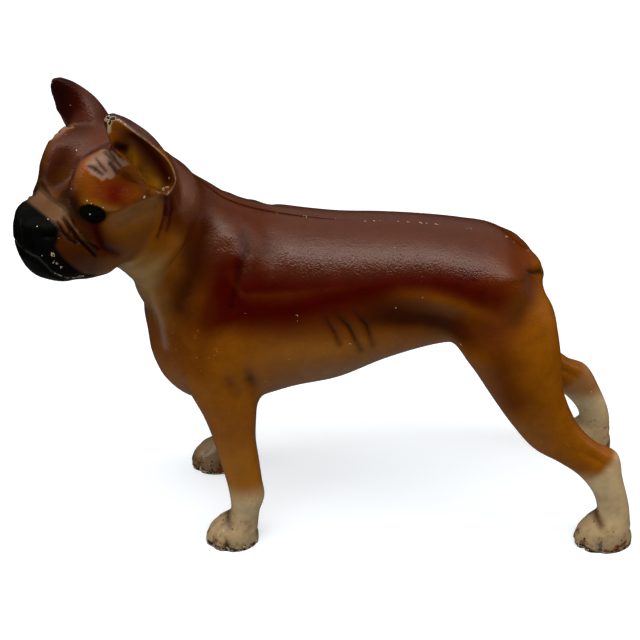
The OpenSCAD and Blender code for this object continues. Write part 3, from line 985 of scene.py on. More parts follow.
    def toes(self, side: Side) -> list[Stroke]:
        """Grooves between the toes of one side's two paws, given as on the left side.

        A step of a groove is its share of the way out, its share of the paw's height and its depth.

        Args:
            side: The half casting.

        Returns:
            A groove at each turn from straight ahead, for each paw.
        """
        legs = Legs(side)
        paws = ((legs.front_heel - legs.lead(), legs.front_len, legs.front_paw_h, -legs.front_y),
                (legs.hind_heel + legs.trail(), legs.hind_len, legs.hind_paw_h, -legs.hind_y))
        depths = tuple(depth for _, _, depth in self.toe_steps)
        lines = []
        for heel, length, height, y in paws:
            for turn in np.radians(self.toe_turns):
                ahead, aside = length / 2 * math.cos(turn), legs.paw_w * math.sin(turn)
                points = tuple((heel - length / 2 - out * ahead, y + out * aside, up * height)
                               for out, up, _ in self.toe_steps)
                lines.append(Stroke(points, self.toe_width, depths))
        return lines

    def eyeball(self, side: Side) -> Bulge:
        """The eye of one side; the right one sits a little further back and in.

        Args:
            side: The half casting.

        Returns:
            The eyeball.
        """
        if side is Side.LEFT:
            return self.eye
        x, y, z = self.eye.centre
        return replace(self.eye.flipped(), centre=(x + self.right_eye_inset, -y - self.right_eye_inset, z))


def linear(code: str) -> Array:
    """Linear colour of a six-figure colour code, by the display curve ((v + 0.055) / 1.055)^2.4.

    Args:
        code: Red, green and blue, two figures each.

    Returns:
        The three shares of light.
    """
    v = np.array([int(code[k:k + 2], 16) for k in (0, 2, 4)]) / 255.0
    return np.where(v <= 0.04045, v / 12.92, ((v + 0.055) / 1.055)**2.4)


@dataclass(frozen=True)
class Palette:
    """The painter's colours."""

    ochre: str = "8d5208"
    mahogany: str = "420000"
    brown: str = "662c04"
    chestnut: str = "552301"
    # Mauve of the painted sheen on the nape.
    sheen_mauve: str = "7a4e37"
    back: str = "522712"
    umber: str = "3a1604"
    tan: str = "8a6238"
    cream: str = "c8b288"
    cheek: str = "653a0c"
    orange: str = "86480a"
    oxblood: str = "5e0c04"
    crown: str = "5a3020"
    bridge: str = "7a5a3c"
    # Pale pink of the worn patch on the brow; also the painted highlight along the chest's ridge.
    worn: str = "9c7d6a"
    black: str = "070908"
    gold: str = "d08c1e"
    maroon: str = "3c0703"
    # Grey of the painted reflection along the lip and philtrum.
    grey: str = "6a6a64"
    smear: str = "4a2709"
    throat: str = "b48e4c"


@dataclass(frozen=True)
class Wash:
    """What the painter has laid on each place: colour, wear of the paint, grime, gloss and shine."""

    colour: Array
    wear: Array
    grime: Array
    gloss: Array
    shine: Array


def over(below: Array, code: str, mask: Array) -> Array:
    """Lays a colour over others by a mask from 0 to 1."""
    return below + (linear(code) - below) * np.clip(mask, 0.0, 1.0)[:, None]


@dataclass(frozen=True)
class Zone:
    """A soft box in the straight figure: the product of steps, each given by where it is 0 and where 1."""

    x: tuple[Edge, ...] = ()
    y: tuple[Edge, ...] = ()
    z: tuple[Edge, ...] = ()

    def mask(self, p: Array) -> Array:
        """Product of the steps at points, 1 well inside the box.

        Args:
            p: Points, (n, 3).

        Returns:
            The mask, (n,).
        """
        total = np.ones(len(p))
        for values, edges in zip(p.T, (self.x, self.y, self.z)):
            for none, full in edges:
                total = total * ramp(values, none, full)
        return total


@dataclass(frozen=True)
class Blotch:
    """A soft oval seen from the side, its middle at x and z."""

    x: float
    z: float
    wide: float
    high: float

    def mask(self, p: Array) -> Array:
        """Bell of the distance from the middle, in shares of the oval's size."""
        return bell(np.hypot((p[:, 0] - self.x) / self.wide, (p[:, 2] - self.z) / self.high), 1.0)


def away(p: Array, place: Point) -> Array:
    """Distance of points from one place."""
    return np.linalg.norm(p - np.array(place), axis=1)


@dataclass(frozen=True)
class Ground:
    """What the painter finds at each place of the skin.

    Attributes:
        q: The place, as if on the left side, (n, 3).
        up: How far the skin faces up.
        inward: How far it faces the mid plane.
        cup: Distance from the ear's hollow.
        swell: How sharply the skin bulges, negative in creases.
        head: 1 on the head and 0 on the body.
        eye: 1 on the eye.
    """

    q: Array
    up: Array
    inward: Array
    cup: Array
    swell: Array
    head: Array
    eye: Array

    @property
    def body(self) -> Array:
        """1 on the body and 0 on the head."""
        return 1.0 - self.head


@dataclass(frozen=True)
class Coat:
    """Air-brushed paint: washes laid one over the other, each by a mask over the straight figure.

    The saddle is the brown of the back, given by the height of its lower edge along the body, with a band of
    mahogany along the ribs and a patch of it on the shoulder. The mask of black is given by how far back it
    comes at each height of the muzzle.
    """

    side: Side
    relief: Relief
    palette: Palette = Palette()
    saddle_x: tuple[float, ...] = (-92, -85, -73, -60, -50, -40, -20, 0, 14, 38, 55, 66, 78, 90)
    saddle_z: tuple[float, ...] = (168, 158, 145, 132, 121, 109, 107, 106, 109, 117, 113, 112, 121, 127)
    band: Stroke = Stroke(
        ((-44, -30, 119), (-24, -30, 117.5), (-12, -28, 120), (2, -26, 122.5), (22, -25, 127.5),
         (36, -26, 127.5), (47, -27, 124.5), (54, -28, 121), (61, -29, 118)), 9.0, heed=SIDEWAYS)
    shoulder: Stroke = Stroke(((-55, -30, 113), (-51, -30, 121), (-49, -26, 130), (-47, -22, 137)), 7.0,
                              heed=SIDEWAYS)
    # Umber in the flank hollow: partly the dark paint there, partly painted shade in the hollow.
    hollow: Stroke = Stroke(
        ((12, -28, 113), (20, -27, 112.5), (32, -26, 109.8), (42, -25, 107), (49, -24, 105.5),
         (59, -30, 105)), 6.8, (0.7, 0.95, 0.85, 0.9, 0.95, 0.4), SIDEWAYS)
    smear: Stroke = Stroke(((76, -19, 125), (75, -25, 119), (69, -30, 113.5)), 5.0)
    haunch: Stroke = Stroke(((62, -38, 104), (64, -40, 90), (70, -40, 77)), 9.0, heed=SIDEWAYS)
    joints: tuple[Stroke, ...] = (Stroke(((-47.5, -20, 13), (-46.5, -27.5, 13.5), (-46, -33, 12)), 2.2),
                                  Stroke(((112, -27, 15), (112, -35, 15.5), (113, -41, 13.5)), 2.0))
    throat_z: tuple[float, ...] = (88, 104, 120, 134, 148)
    throat_x: tuple[float, ...] = (-73, -73, -76.5, -81.5, -96)
    black_z: tuple[float, ...] = (136, 142, 144, 149, 153.5, 158, 162, 165, 167.5, 170)
    black_x: tuple[float, ...] = (-106, -109, -119, -124, -127.3, -129.3, -127.2, -126.7, -128.5, -131)
    black_top: float = 171.5
    brow_x: tuple[float, ...] = (-124, -112, -107, -102, -96, -86)
    brow_z: tuple[float, ...] = (173, 170, 170.3, 172, 172.2, 171.7)
    patch_x: tuple[float, ...] = (-114, -111, -106, -103, -100.5)
    patch_low: tuple[float, ...] = (185, 182.8, 183, 186.5, 192)
    patch_top: tuple[float, ...] = (187, 189, 191, 192, 192.5)
    patch_zone: Zone = Zone(x=((-114.2, -113.2), (-99.6, -101.0)), y=((-8, -10),))
    red_spot: Point = (-107.5, -21.5, 176.5)
    ear_tip: Point = (-107, -21, 206.5)
    mid_x: float = 20.0
    belly: Zone = Zone(x=((-34, 0), (56, 44)), z=((96, 84), (76, 82)))
    fore_saddle: Zone = Zone(x=((-40, -58),), z=((120, 132),))
    loin: Zone = Zone(x=((-47, -38), (62, 52)), z=((120, 127),))
    breast: Zone = Zone(x=((-48, -58),), z=((80, 95), (140, 125)))
    nape: Zone = Zone(x=((-56, -64),), z=((148, 158),))
    throat: Zone = Zone(x=((-109, -103),), z=((100, 124), (152, 144)))
    thigh: Blotch = Blotch(60, 108, 13, 10)
    rib_gold: Blotch = Blotch(-12, 98, 22, 6)
    chest_dots: Blotch = Blotch(-60, 98, 15, 16)
    hock_dots: Blotch = Blotch(88, 62, 16, 14)
    croup: Blotch = Blotch(72, 134, 15, 11)
    hock: Zone = Zone(x=((84, 92),), z=((70, 60),))
    buttock: Zone = Zone(x=((62, 71),), z=((140, 132), (60, 80)))
    neck: Zone = Zone(x=((-20, -34), (-68, -58)), z=((118, 130),))
    stop: Zone = Zone(x=((-110, -116),), z=((150, 156), (186, 180)))
    temple: Zone = Zone(x=((-84, -92),), z=((174, 182), (194, 190)))
    dark_ear: Zone = Zone(x=((-94, -101),), z=((187, 193),))
    ear_front: Zone = Zone(y=((-12, -15),), z=((188, 194),))
    crown: Zone = Zone(y=((-12.5, -7.0),), z=((174, 183),))
    muzzle_side: Zone = Zone(x=((-111, -118),), z=((171.5, 168.5), (168, 160)))
    bridge: Zone = Zone(x=((-114, -118),), y=((-16, -12),), z=((164, 167.5),))

    @property
    def far(self) -> float:
        """1 on the right half and 0 on the left."""
        return 1.0 if self.side is Side.RIGHT else 0.0

    def near(self, p: Array) -> Array:
        """Places as if on the left side, where the masks are given."""
        return p if self.side is Side.LEFT else p * np.array([1.0, -1.0, 1.0])

    def lay(self, places: Array, normal: Array, cup: Array, swell: Array) -> Wash:
        """Lays all the washes.

        Args:
            places: Places of the skin in the straight figure, (n, 3).
            normal: Its outward normals, (n, 3).
            cup: Distance of each place from the ear's hollow.
            swell: How sharply the skin bulges at each place, negative in creases.

        Returns:
            Colour and masks at each place.
        """
        q = self.near(places)
        head = ramp(-0.8 * q[:, 0] + 0.6 * q[:, 2], 165.0, 171.0)
        eye = ramp(self.eye(q), 1.06, 0.98)
        g = Ground(q, normal[:, 2], -self.side.value * normal[:, 1], cup, swell, head, eye)
        colour = self.legs(self.body(g), g)
        colour = self.ear(self.muzzle(self.face(colour, g), g), g)
        # Painted shade: every colour darkened by up to half in creases, where the skin curves in.
        colour = colour * (1.0 - 0.5 * ramp(-swell, 0.08, 0.7))[:, None]
        colour = over(colour, self.palette.black, eye)
        rim = self.rim(g)
        colour = over(colour, self.palette.cream, 0.55 * rim)
        return Wash(colour, self.wear(g, rim), self.grime(g), eye, self.shine(g))

    def eye(self, q: Array) -> Array:
        """How far places are from the eye's middle, as a share of its almond; large elsewhere."""
        u, v, w = self.relief.eye.scaled(*q.T)
        return np.where(w > -0.4, np.sqrt(u**2 + v**2), 9.0)

    def body(self, g: Ground) -> Array:
        """Trunk and thighs, from the ground colour up.

        Args:
            g: What the painter finds.

        Returns:
            The colours.
        """
        q, c, r = g.q, self.palette, self.relief
        x, y, z = q.T
        colour = np.tile(linear(c.ochre), (len(q), 1))
        colour = over(colour, c.tan, self.belly.mask(q))
        saddle = ramp(z - np.interp(x, self.saddle_x, self.saddle_z), -8.0, 7.0) * g.body
        colour = over(colour, c.brown, 0.9 * saddle)
        colour = over(colour, c.umber, 0.55 * saddle * self.fore_saddle.mask(q))
        red = np.maximum(self.band.mask(q), self.loin.mask(q)) + 0.85 * self.shoulder.mask(q)
        colour = over(colour, c.mahogany, 0.95 * np.clip(red, 0.0, 1.0) * g.body)
        # Umber in the flank hollow: partly the dark paint there, partly painted shade in the hollow.
        colour = over(colour, c.umber, 1.2 * self.hollow.press(x, y, z))
        colour = over(colour, c.ochre, 0.55 * r.flank_fold.mask(q, 2.8) * ramp(x, 12, 36))
        # Painted shade: mahogany darkening along the neck's creases.
        for crease in r.neck_creases:
            colour = over(colour, c.mahogany, 0.55 * crease.mask(q, 2.6))
        colour = over(colour, c.brown, 0.5 * self.breast.mask(q))
        # Painted shade in the valley between neck and shoulder.
        colour = over(colour, c.umber, 0.8 * r.neck_valley.mask(q, 6.0))
        # Painted highlight: pale pink along the ridge at the front of the chest.
        colour = over(colour, c.worn, 0.6 * r.chest_ridge.mask(q, 2.0))
        thigh = np.maximum(self.thigh.mask(q), 0.9 * self.haunch.mask(q))
        colour = over(colour, c.chestnut, 0.85 * thigh * ramp(y, -14, -20))
        colour = over(colour, c.smear, 0.85 * self.smear.mask(q))
        # Painted shadow: black in the undercut notch below the tail.
        colour = over(colour, c.black, 0.7 * r.tail_notch.mask(q, 1.2))
        # Painted sheen: mauve on the upward faces of the nape.
        colour = over(colour, c.sheen_mauve, 0.8 * g.body * self.nape.mask(q) * ramp(g.up, 0.1, 0.6))
        top = ramp(g.up, 0.35, 0.8) * ramp(z - 0.12 * np.abs(x), 114, 130)
        colour = over(colour, c.back, 0.9 * g.body * top)
        throat = ramp(x - np.interp(z, self.throat_z, self.throat_x), 10.0, -5.0)
        colour = over(colour, c.throat, 0.7 * throat * self.throat.mask(q))
        colour = over(colour, c.gold, 0.2 * self.rib_gold.mask(q))
        # Painted shade in the grooves between the ribs.
        for rib in r.ribs:
            colour = over(colour, c.umber, 0.6 * rib.mask(q, 1.3 * rib.width))
        # Painted shade in the elbow's creases, as deep as the grooves.
        for elbow in r.elbows:
            colour = over(colour, c.umber, 0.4 * elbow.press(x, y, z))
        return colour

    def legs(self, colour: Array, g: Ground) -> Array:
        """Cream stockings and paws.

        Args:
            colour: Colours so far.
            g: What the painter finds.

        Returns:
            The colours with the stockings.
        """
        c, far = self.palette, self.far
        x, y, z = g.q.T
        front, hind = x < self.mid_x, x > self.mid_x
        colour = over(colour, c.gold, 0.25 * ramp(z, 62, 45) * front)
        heel = ramp(x - 0.9 * (z - 45), 112, 118) * ramp(z, 56, 46)
        socks = ramp(z, 35, 22) * front + ramp(z + 5 * far, 43, 29) * hind
        colour = over(colour, c.cream, socks + (0.8 - 0.6 * far) * heel)
        colour = over(colour, c.cream, ramp(g.inward, 0.1, 0.6) * hind * ramp(z + 4 * far, 40, 27))
        colour = over(colour, c.smear, 0.55 * far * ramp(z, 40, 30) * front)
        colour = over(colour, c.smear, 0.22 * ramp(z, 20, 12))
        for joint in self.joints:
            colour = over(colour, c.smear, 0.85 * joint.mask(g.q))
        ragged = z - 1.3 * np.abs(np.sin(0.55 * x + 0.4 * y))
        return over(colour, c.black, 0.95 * ramp(ragged, 1.5, 0.6))

    def brow(self, g: Ground) -> Array:
        """Mask of the brow, above a line along the head that softens towards the stop.

        Args:
            g: What the painter finds.

        Returns:
            The mask, 0 to 1.
        """
        x, _, z = g.q.T
        soft = 4.0 * ramp(x, -114, -119)
        rise = z - np.interp(x, self.brow_x, self.brow_z)
        return ramp((rise + 0.5 + soft) / (1.2 + 2 * soft), 0.0, 1.0) * g.head

    def patch(self, g: Ground) -> Array:
        """Mask of the worn patch on the brow, its lower edge scalloped.

        Args:
            g: What the painter finds.

        Returns:
            The mask, 0 to 1.
        """
        x, _, z = g.q.T
        scallop = 0.7 * np.abs(np.sin(x * 0.95))
        low = ramp(z - np.interp(x, self.patch_x, self.patch_low) + scallop, -0.2, 0.5)
        top = ramp(np.interp(x, self.patch_x, self.patch_top) - z, -0.3, 0.8)
        return low * top * self.patch_zone.mask(g.q) * ramp(g.inward, 0.15, -0.1)

    def face(self, colour: Array, g: Ground) -> Array:
        """Cheeks, brows and crown.

        Args:
            colour: Colours so far.
            g: What the painter finds.

        Returns:
            The colours with the face's.
        """
        q, c, r = g.q, self.palette, self.relief
        x, y, z = q.T
        brow, patch = self.brow(g), self.patch(g)
        colour = over(colour, c.cheek, g.head * ramp(z, 140, 147))
        colour = over(colour, c.orange, (1.0 - 0.8 * self.far) * brow * ramp(x, -125, -119))
        colour = over(colour, c.oxblood, 0.95 * brow * bell(away(q, self.red_spot), 7.5))
        # Painted highlight: gold along the brow's lower edge.
        colour = over(colour, c.gold, 0.45 * brow * r.brow_gold.mask(q))
        crown = self.crown.mask(q) + ramp(z, 190, 193.5) + ramp(g.inward, 0.0, 0.35) * ramp(z, 178, 183)
        colour = over(colour, c.crown, np.clip(crown, 0.0, 1.0) * g.head)
        # Painted shade in the valley along the edge of the brow's dome.
        colour = over(colour, c.umber, 0.75 * r.dome_edge.mask(q))
        colour = over(colour, c.worn, 0.85 * patch)
        # Painted shade in the wrinkles of the worn patch, as deep as the grooves.
        for wrinkle in r.wrinkles:
            colour = over(colour, c.umber, 0.65 * patch * wrinkle.press(x, y, z))
        return colour

    def black_depth(self, g: Ground) -> Array:
        """How far places lie within the black of the muzzle, in mm, negative outside it."""
        return np.interp(g.q[:, 2], self.black_z, self.black_x) - g.q[:, 0]

    def muzzle(self, colour: Array, g: Ground) -> Array:
        """Bridge, stop, creases, lips and the black of the muzzle.

        Args:
            colour: Colours so far.
            g: What the painter finds.

        Returns:
            The colours with the muzzle's.
        """
        q, c, r = g.q, self.palette, self.relief
        _, y, z = q.T
        colour = over(colour, c.umber, 0.7 * self.muzzle_side.mask(q))
        colour = over(colour, c.bridge, self.bridge.mask(q) * ramp(z - 0.25 * np.abs(y), 171.5, 167.5))
        # Painted shadow at the stop and down beside the eye.
        colour = over(colour, c.umber, 0.8 * r.stop_dark.mask(q))
        # Painted shade: black at the eye's inner corner, weaker on the right half.
        colour = over(colour, c.black, (0.75 - 0.45 * self.far) * r.eye_corner.mask(q))
        # Painted highlight: tan on the cheek below the brow.
        colour = over(colour, c.tan, 0.6 * r.cheek_highlight.mask(q) * (1.0 - self.brow(g)))
        # Painted shade: maroon in the furrow under the eye.
        colour = over(colour, c.maroon, 0.75 * r.under_eye.mask(q, 2.2))
        # Painted shade: black in the muzzle's creases.
        for crease in r.creases:
            colour = over(colour, c.black, 0.95 * crease.mask(q))
        # Painted highlight: tan along the ridges between the creases.
        for ridge in r.crease_ridges:
            colour = over(colour, c.tan, 0.7 * ridge.mask(q, 0.6) * ramp(z, 157, 165))
        depth = self.black_depth(g)
        colour = over(colour, c.umber, 0.45 * ramp(depth, -12, 0) * g.head)
        colour = over(colour, c.black, ramp(depth, -1.2, 0.8) * (z < self.black_top))
        # Painted reflection: grey along the lip's edge and the philtrum.
        lines = np.maximum(r.lip.mask(q, 0.5), r.philtrum.mask(q, 0.5))
        colour = over(colour, c.grey, 0.5 * lines)
        return over(colour, c.tan, 0.7 * r.mouth.mask(q))

    def ear(self, colour: Array, g: Ground) -> Array:
        """Ears, outside and in the hollow.

        Args:
            colour: Colours so far.
            g: What the painter finds.

        Returns:
            The colours with the ears'.
        """
        q, c, r = g.q, self.palette, self.relief
        x, y, z = q.T
        ear = self.ear_front.mask(q)
        colour = over(colour, c.maroon, 0.9 * ear * ramp(x, -94, -101))
        # Painted shade: black on the inward face of the ear's front half.
        colour = over(colour, c.black, 0.6 * ear * ramp(x, -98, -105) * ramp(g.inward, -0.2, 0.2))
        inside = ramp(g.cup, 1.0, 0.35)
        colour = over(colour, c.orange, inside)
        # Painted shade: maroon down the back of the ear's hollow.
        colour = over(colour, c.maroon, inside * r.ear_hollow.mask(q))
        # Painted light: bright gold along the lit wall of the ear's hollow.
        colour = over(colour, c.gold, inside * r.ear_lit_wall.press(x, y, z))
        # Painted shadow: maroon and black under the ear's front lobe.
        colour = over(colour, c.maroon, r.ear_fold.mask(q, 1.3 * r.ear_fold.width))
        colour = over(colour, c.black, 0.7 * r.ear_fold.mask(q, 0.8 * r.ear_fold.width))
        return over(colour, c.cream, 0.8 * r.ear_front.mask(q))

    def rim(self, g: Ground) -> Array:
        """Mask of the ear's bare rim, which leaves out its front edge below the tip.

        Args:
            g: What the painter finds.

        Returns:
            The mask, 0 to 1.
        """
        x, _, z = g.q.T
        rim = ramp(g.cup, 1.5, 1.0) * ramp(g.cup, 0.3, 0.7) * ramp(g.swell, 0.3, 0.9)
        front = ramp(x + 88 + 0.5 * (z - 172), 2.5, -1.5) * ramp(z, 203, 199)
        return rim * (1.0 - front)

    def wear(self, g: Ground, rim: Array) -> Array:
        """How worn the paint is: along the seam, at the soles, the lips and the ear's edges.

        Args:
            g: What the painter finds.
            rim: Mask of the ear's rim.

        Returns:
            The wear, 0 to 1, none on the eye.
        """
        x, y, z = g.q.T
        seam = ramp(np.abs(y), 1.3, 0.3) * ramp(g.up, 0.3, 0.7) * ramp(x, -40, -25) * g.body
        soles = 0.5 * ramp(z, 3.5, 0.3) + 0.1 * ramp(z, 30, 14) * g.body
        lips = sum(chip.mask(g.q) for chip in self.relief.lip_chips)
        ear = 0.3 * rim + 0.6 * bell(away(g.q, self.ear_tip), 2.6) + 0.4 * self.relief.ear_root.mask(g.q)
        return np.clip(0.26 * seam + soles + 0.42 * lips + ear, 0.0, 1.0) * (1.0 - g.eye)

    def grime(self, g: Ground) -> Array:
        """How much dirt lies on the paint: on the legs, and a little in two dotted blotches.

        Args:
            g: What the painter finds.

        Returns:
            The mask, 0 to 1.
        """
        z = g.q[:, 2]
        dotted = np.maximum(self.chest_dots.mask(g.q), self.hock_dots.mask(g.q))
        return np.clip(0.6 * ramp(z, 36, 10) + 0.4 * ramp(z, 9, 2) + 0.16 * dotted, 0.0, 1.0) * g.body

    def shine(self, g: Ground) -> Array:
        """How much the paint shines: half, and less where the paint is dull.

        Args:
            g: What the painter finds.

        Returns:
            The shine, 0 to 0.5.
        """
        q = g.q
        black = ramp(self.black_depth(g), -2.0, 1.0) * (q[:, 2] < self.black_top)
        neck = self.neck.mask(q) * (1.0 - 0.9 * self.relief.shoulder_bump.mask(q, 5.0)) * g.body
        dull = (0.7 * neck, 0.7 * self.hock.mask(q), 0.9 * self.buttock.mask(q), 0.85 * ramp(g.cup, 1.0, 0.2),
                0.6 * self.hollow.mask(q, 8.0), 0.95 * g.eye, 0.95 * black, 0.4 * self.croup.mask(q),
                0.8 * self.dark_ear.mask(q) * ramp(g.inward, -0.2, 0.2), 0.75 * self.stop.mask(q),
                0.55 * self.temple.mask(q), 0.5 * bell(away(q, self.red_spot), 12.0))
        return 0.5 - 0.5 * np.maximum.reduce(dull)


@dataclass
class HalfCasting:
    """One half of the figure: its own legs and ear, and half of all the rest.

    A span of the grid is where it starts, where its step changes and where it stops.
    """

    side: Side
    node: str
    bend: Bend
    finish: bpy.types.Material | None = None
    gap: float = 0.01
    seam: Stroke = Stroke(((-64, 0, 160), (-50, 0, 152), (-30, 0, 145), (-5, 0, 141)), 3.0, 0.12)
    floor: float = 0.0
    seats: tuple[Seat, ...] = (Seat(-24.0, 106.0, 27.9), Seat(46.0, 116.0, 23.4))
    coarse: float = 1.1
    fine: float = 0.595
    span_x: Point = (-141.0, -66.0, 139.0)
    span_y: Point = (-1.6, 27.2, 49.2)
    span_z: Point = (-3.0, 128.0, 211.0)
    settle: int = 3
    trunk: Trunk = field(default_factory=Trunk)
    head: Head = field(default_factory=Head)
    relief: Relief = field(default_factory=Relief)

    def lattice(self) -> Lattice:
        """The grid of this half, from just past the parting to outside the paws, fine at the head.
        """
        k = 1.0
        c, f = self.coarse * k, self.fine * k
        (x0, x1, x2), (y0, y1, y2), (z0, z1, z2) = self.span_x, self.span_y, self.span_z
        x = spaced((x0, f), (x1, c), stop=x2)
        y = spaced((y0, f), (y1, c), stop=y2)
        z = spaced((z0, c), (z1, f), stop=z2)
        return Lattice(x, y if self.side is Side.RIGHT else -y[::-1], z)

    def solids(self) -> Iterator[Solid]:
        """Everything that is melted together, both sides, so that the halves meet at the parting.

        Yields:
            The solids.
        """
        yield from self.trunk.solids()
        yield from self.head.solids()
        yield self.relief.nose
        for side in Side:
            yield from Legs(side).solids()

    def values(self, lattice: Lattice) -> Array:
        """Field of this half on the grid, negative in the iron.

        Args:
            lattice: The grid.

        Returns:
            The melted solids, with the relief pressed in and the ear's hollow, the stop and the seats cut.
        """
        total = lattice.blank()

        def work(way: Callable[[Array, Array, float], Array], tool: Tool) -> None:
            """Melts a solid in, or cuts it out, in its own window of the grid.

            Args:
                way: How the solid changes the field.
                tool: The solid.
            """
            w = lattice.window(*tool.box())
            if total[w].size:
                total[w] = way(total[w], tool.field(*lattice.places(w)), tool.reach)

        for solid in self.solids():
            work(melt, solid)
        ear, cup = self.ear()
        work(melt, ear)
        work(cut, cup)
        for stroke in self.relief.strokes(self.side):
            w = lattice.window(*stroke.box())
            if total[w].size:
                total[w] += stroke.press(*lattice.places(w)).astype(np.float32)
        work(cut, self.relief.stop_cut)
        work(melt, self.relief.eyeball(self.side))
        for seat in self.seats if self.side is Side.RIGHT else ():
            work(cut, seat)
        return total

    def ear(self) -> tuple[Loft, Loft]:
        """This side's ear and its hollow."""
        ear, cup = self.head.ear(), self.head.ear_cup()
        return (ear, cup) if self.side is Side.LEFT else (ear.flipped(), cup.flipped())

    def cup_distance(self, lattice: Lattice, p: Array) -> Array:
        """Distance of places from the ear's hollow, or FAR where they are far from it.

        Args:
            lattice: The grid.
            p: Places, (n, 3).

        Returns:
            The distance, negative in the hollow.
        """
        cup = self.ear()[1]
        values = lattice.blank()
        w = lattice.window(*cup.box())
        values[w] = cup.field(*lattice.places(w))
        return sample(values, lattice, p)

    def skin(self, lattice: Lattice) -> tuple[Skin, Array, Array]:
        """The closed skin of this half, with its outward normals.

        The places settle on the skin by a few steps of value / slope^2 down the slope. Those at the parting
        and the soles keep to their planes.

        Args:
            lattice: The grid.

        Returns:
            The skin in the straight figure, a unit normal for each place, and how sharply it bulges there.
        """
        whole = self.values(lattice)
        _, y, z = lattice.places((slice(None),) * 3)
        g = self.side.value
        closed = np.maximum(whole, np.maximum(self.gap - g * y, self.floor - z).astype(np.float32))
        skin = net(closed, lattice)
        p = skin.places
        step = self.fine
        for _ in range(self.settle):
            value = sample(whole, lattice, p)
            grad, _ = slope(whole, lattice, p, step)
            outer = np.abs(value) < 0.8 * self.coarse
            rim = outer & (g * p[:, 1] < self.gap + 0.6 * self.fine)
            sole = outer & (p[:, 2] < self.floor + 0.6 * self.coarse)
            grad[rim, 1] = 0.0
            grad[sole, 2] = 0.0
            move = value / np.maximum(np.sum(grad**2, axis=1), 0.2)
            p = p - np.where(outer, np.clip(move, -0.5, 0.5), 0.0)[:, None] * grad
            p[rim, 1] = g * (self.gap + self.seam.press(*p[rim].T))
            p[sole, 2] = self.floor
        skin.places = p
        normal, swell = slope(whole, lattice, p, self.coarse)
        normal /= np.maximum(np.linalg.norm(normal, axis=1, keepdims=True), 1e-6)
        return skin, normal, swell

    def mesh(self, skin: Skin, wash: Wash) -> bpy.types.Mesh:
        """Carries the skin to its place and stores the paint on it.

        Args:
            skin: The skin of the straight figure.
            wash: Its paint.

        Returns:
            The mesh, in metres.
        """
        mesh = bpy.data.meshes.new(self.node + "_skin")
        n, m = len(skin.places), len(skin.faces)
        mesh.vertices.add(n)
        mesh.vertices.foreach_set("co", (self.bend.carry(skin.places) * MM).astype(np.float32).ravel())
        mesh.loops.add(4 * m)
        mesh.loops.foreach_set("vertex_index", skin.faces.astype(np.int32).ravel())
        mesh.polygons.add(m)
        mesh.polygons.foreach_set("loop_start", np.arange(0, 4 * m, 4, dtype=np.int32))
        mesh.update(calc_edges=True)
        mesh.validate()
        paint = mesh.attributes.new("paint", "FLOAT_COLOR", "POINT")
        paint.data.foreach_set("color", np.c_[wash.colour, np.ones(n)].astype(np.float32).ravel())
        for name in ("wear", "grime", "gloss", "shine"):
            mask = getattr(wash, name).astype(np.float32)
            mesh.attributes.new(name, "FLOAT", "POINT").data.foreach_set("value", mask)
        mesh.materials.append(self.finish)
        mesh.shade_smooth()
        mesh.set_sharp_from_angle(angle=math.radians(60))
        return mesh

    def build(self) -> bpy.types.Object:
        """Makes the half's object, which stands for its CAD node.

        Returns:
            The object.
        """
        lattice = self.lattice()
        skin, normal, swell = self.skin(lattice)
        cup = self.cup_distance(lattice, skin.places)
        wash = Coat(self.side, self.relief).lay(skin.places, normal, cup, swell)
        piece = bpy.data.objects.new(self.node + "_painted", self.mesh(skin, wash))
        bpy.context.scene.collection.objects.link(piece)
        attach(piece, ROOT)
        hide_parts(self.node)
        log.info("%s: %d places, %d faces", piece.name, len(skin.places), len(skin.faces))
        return piece


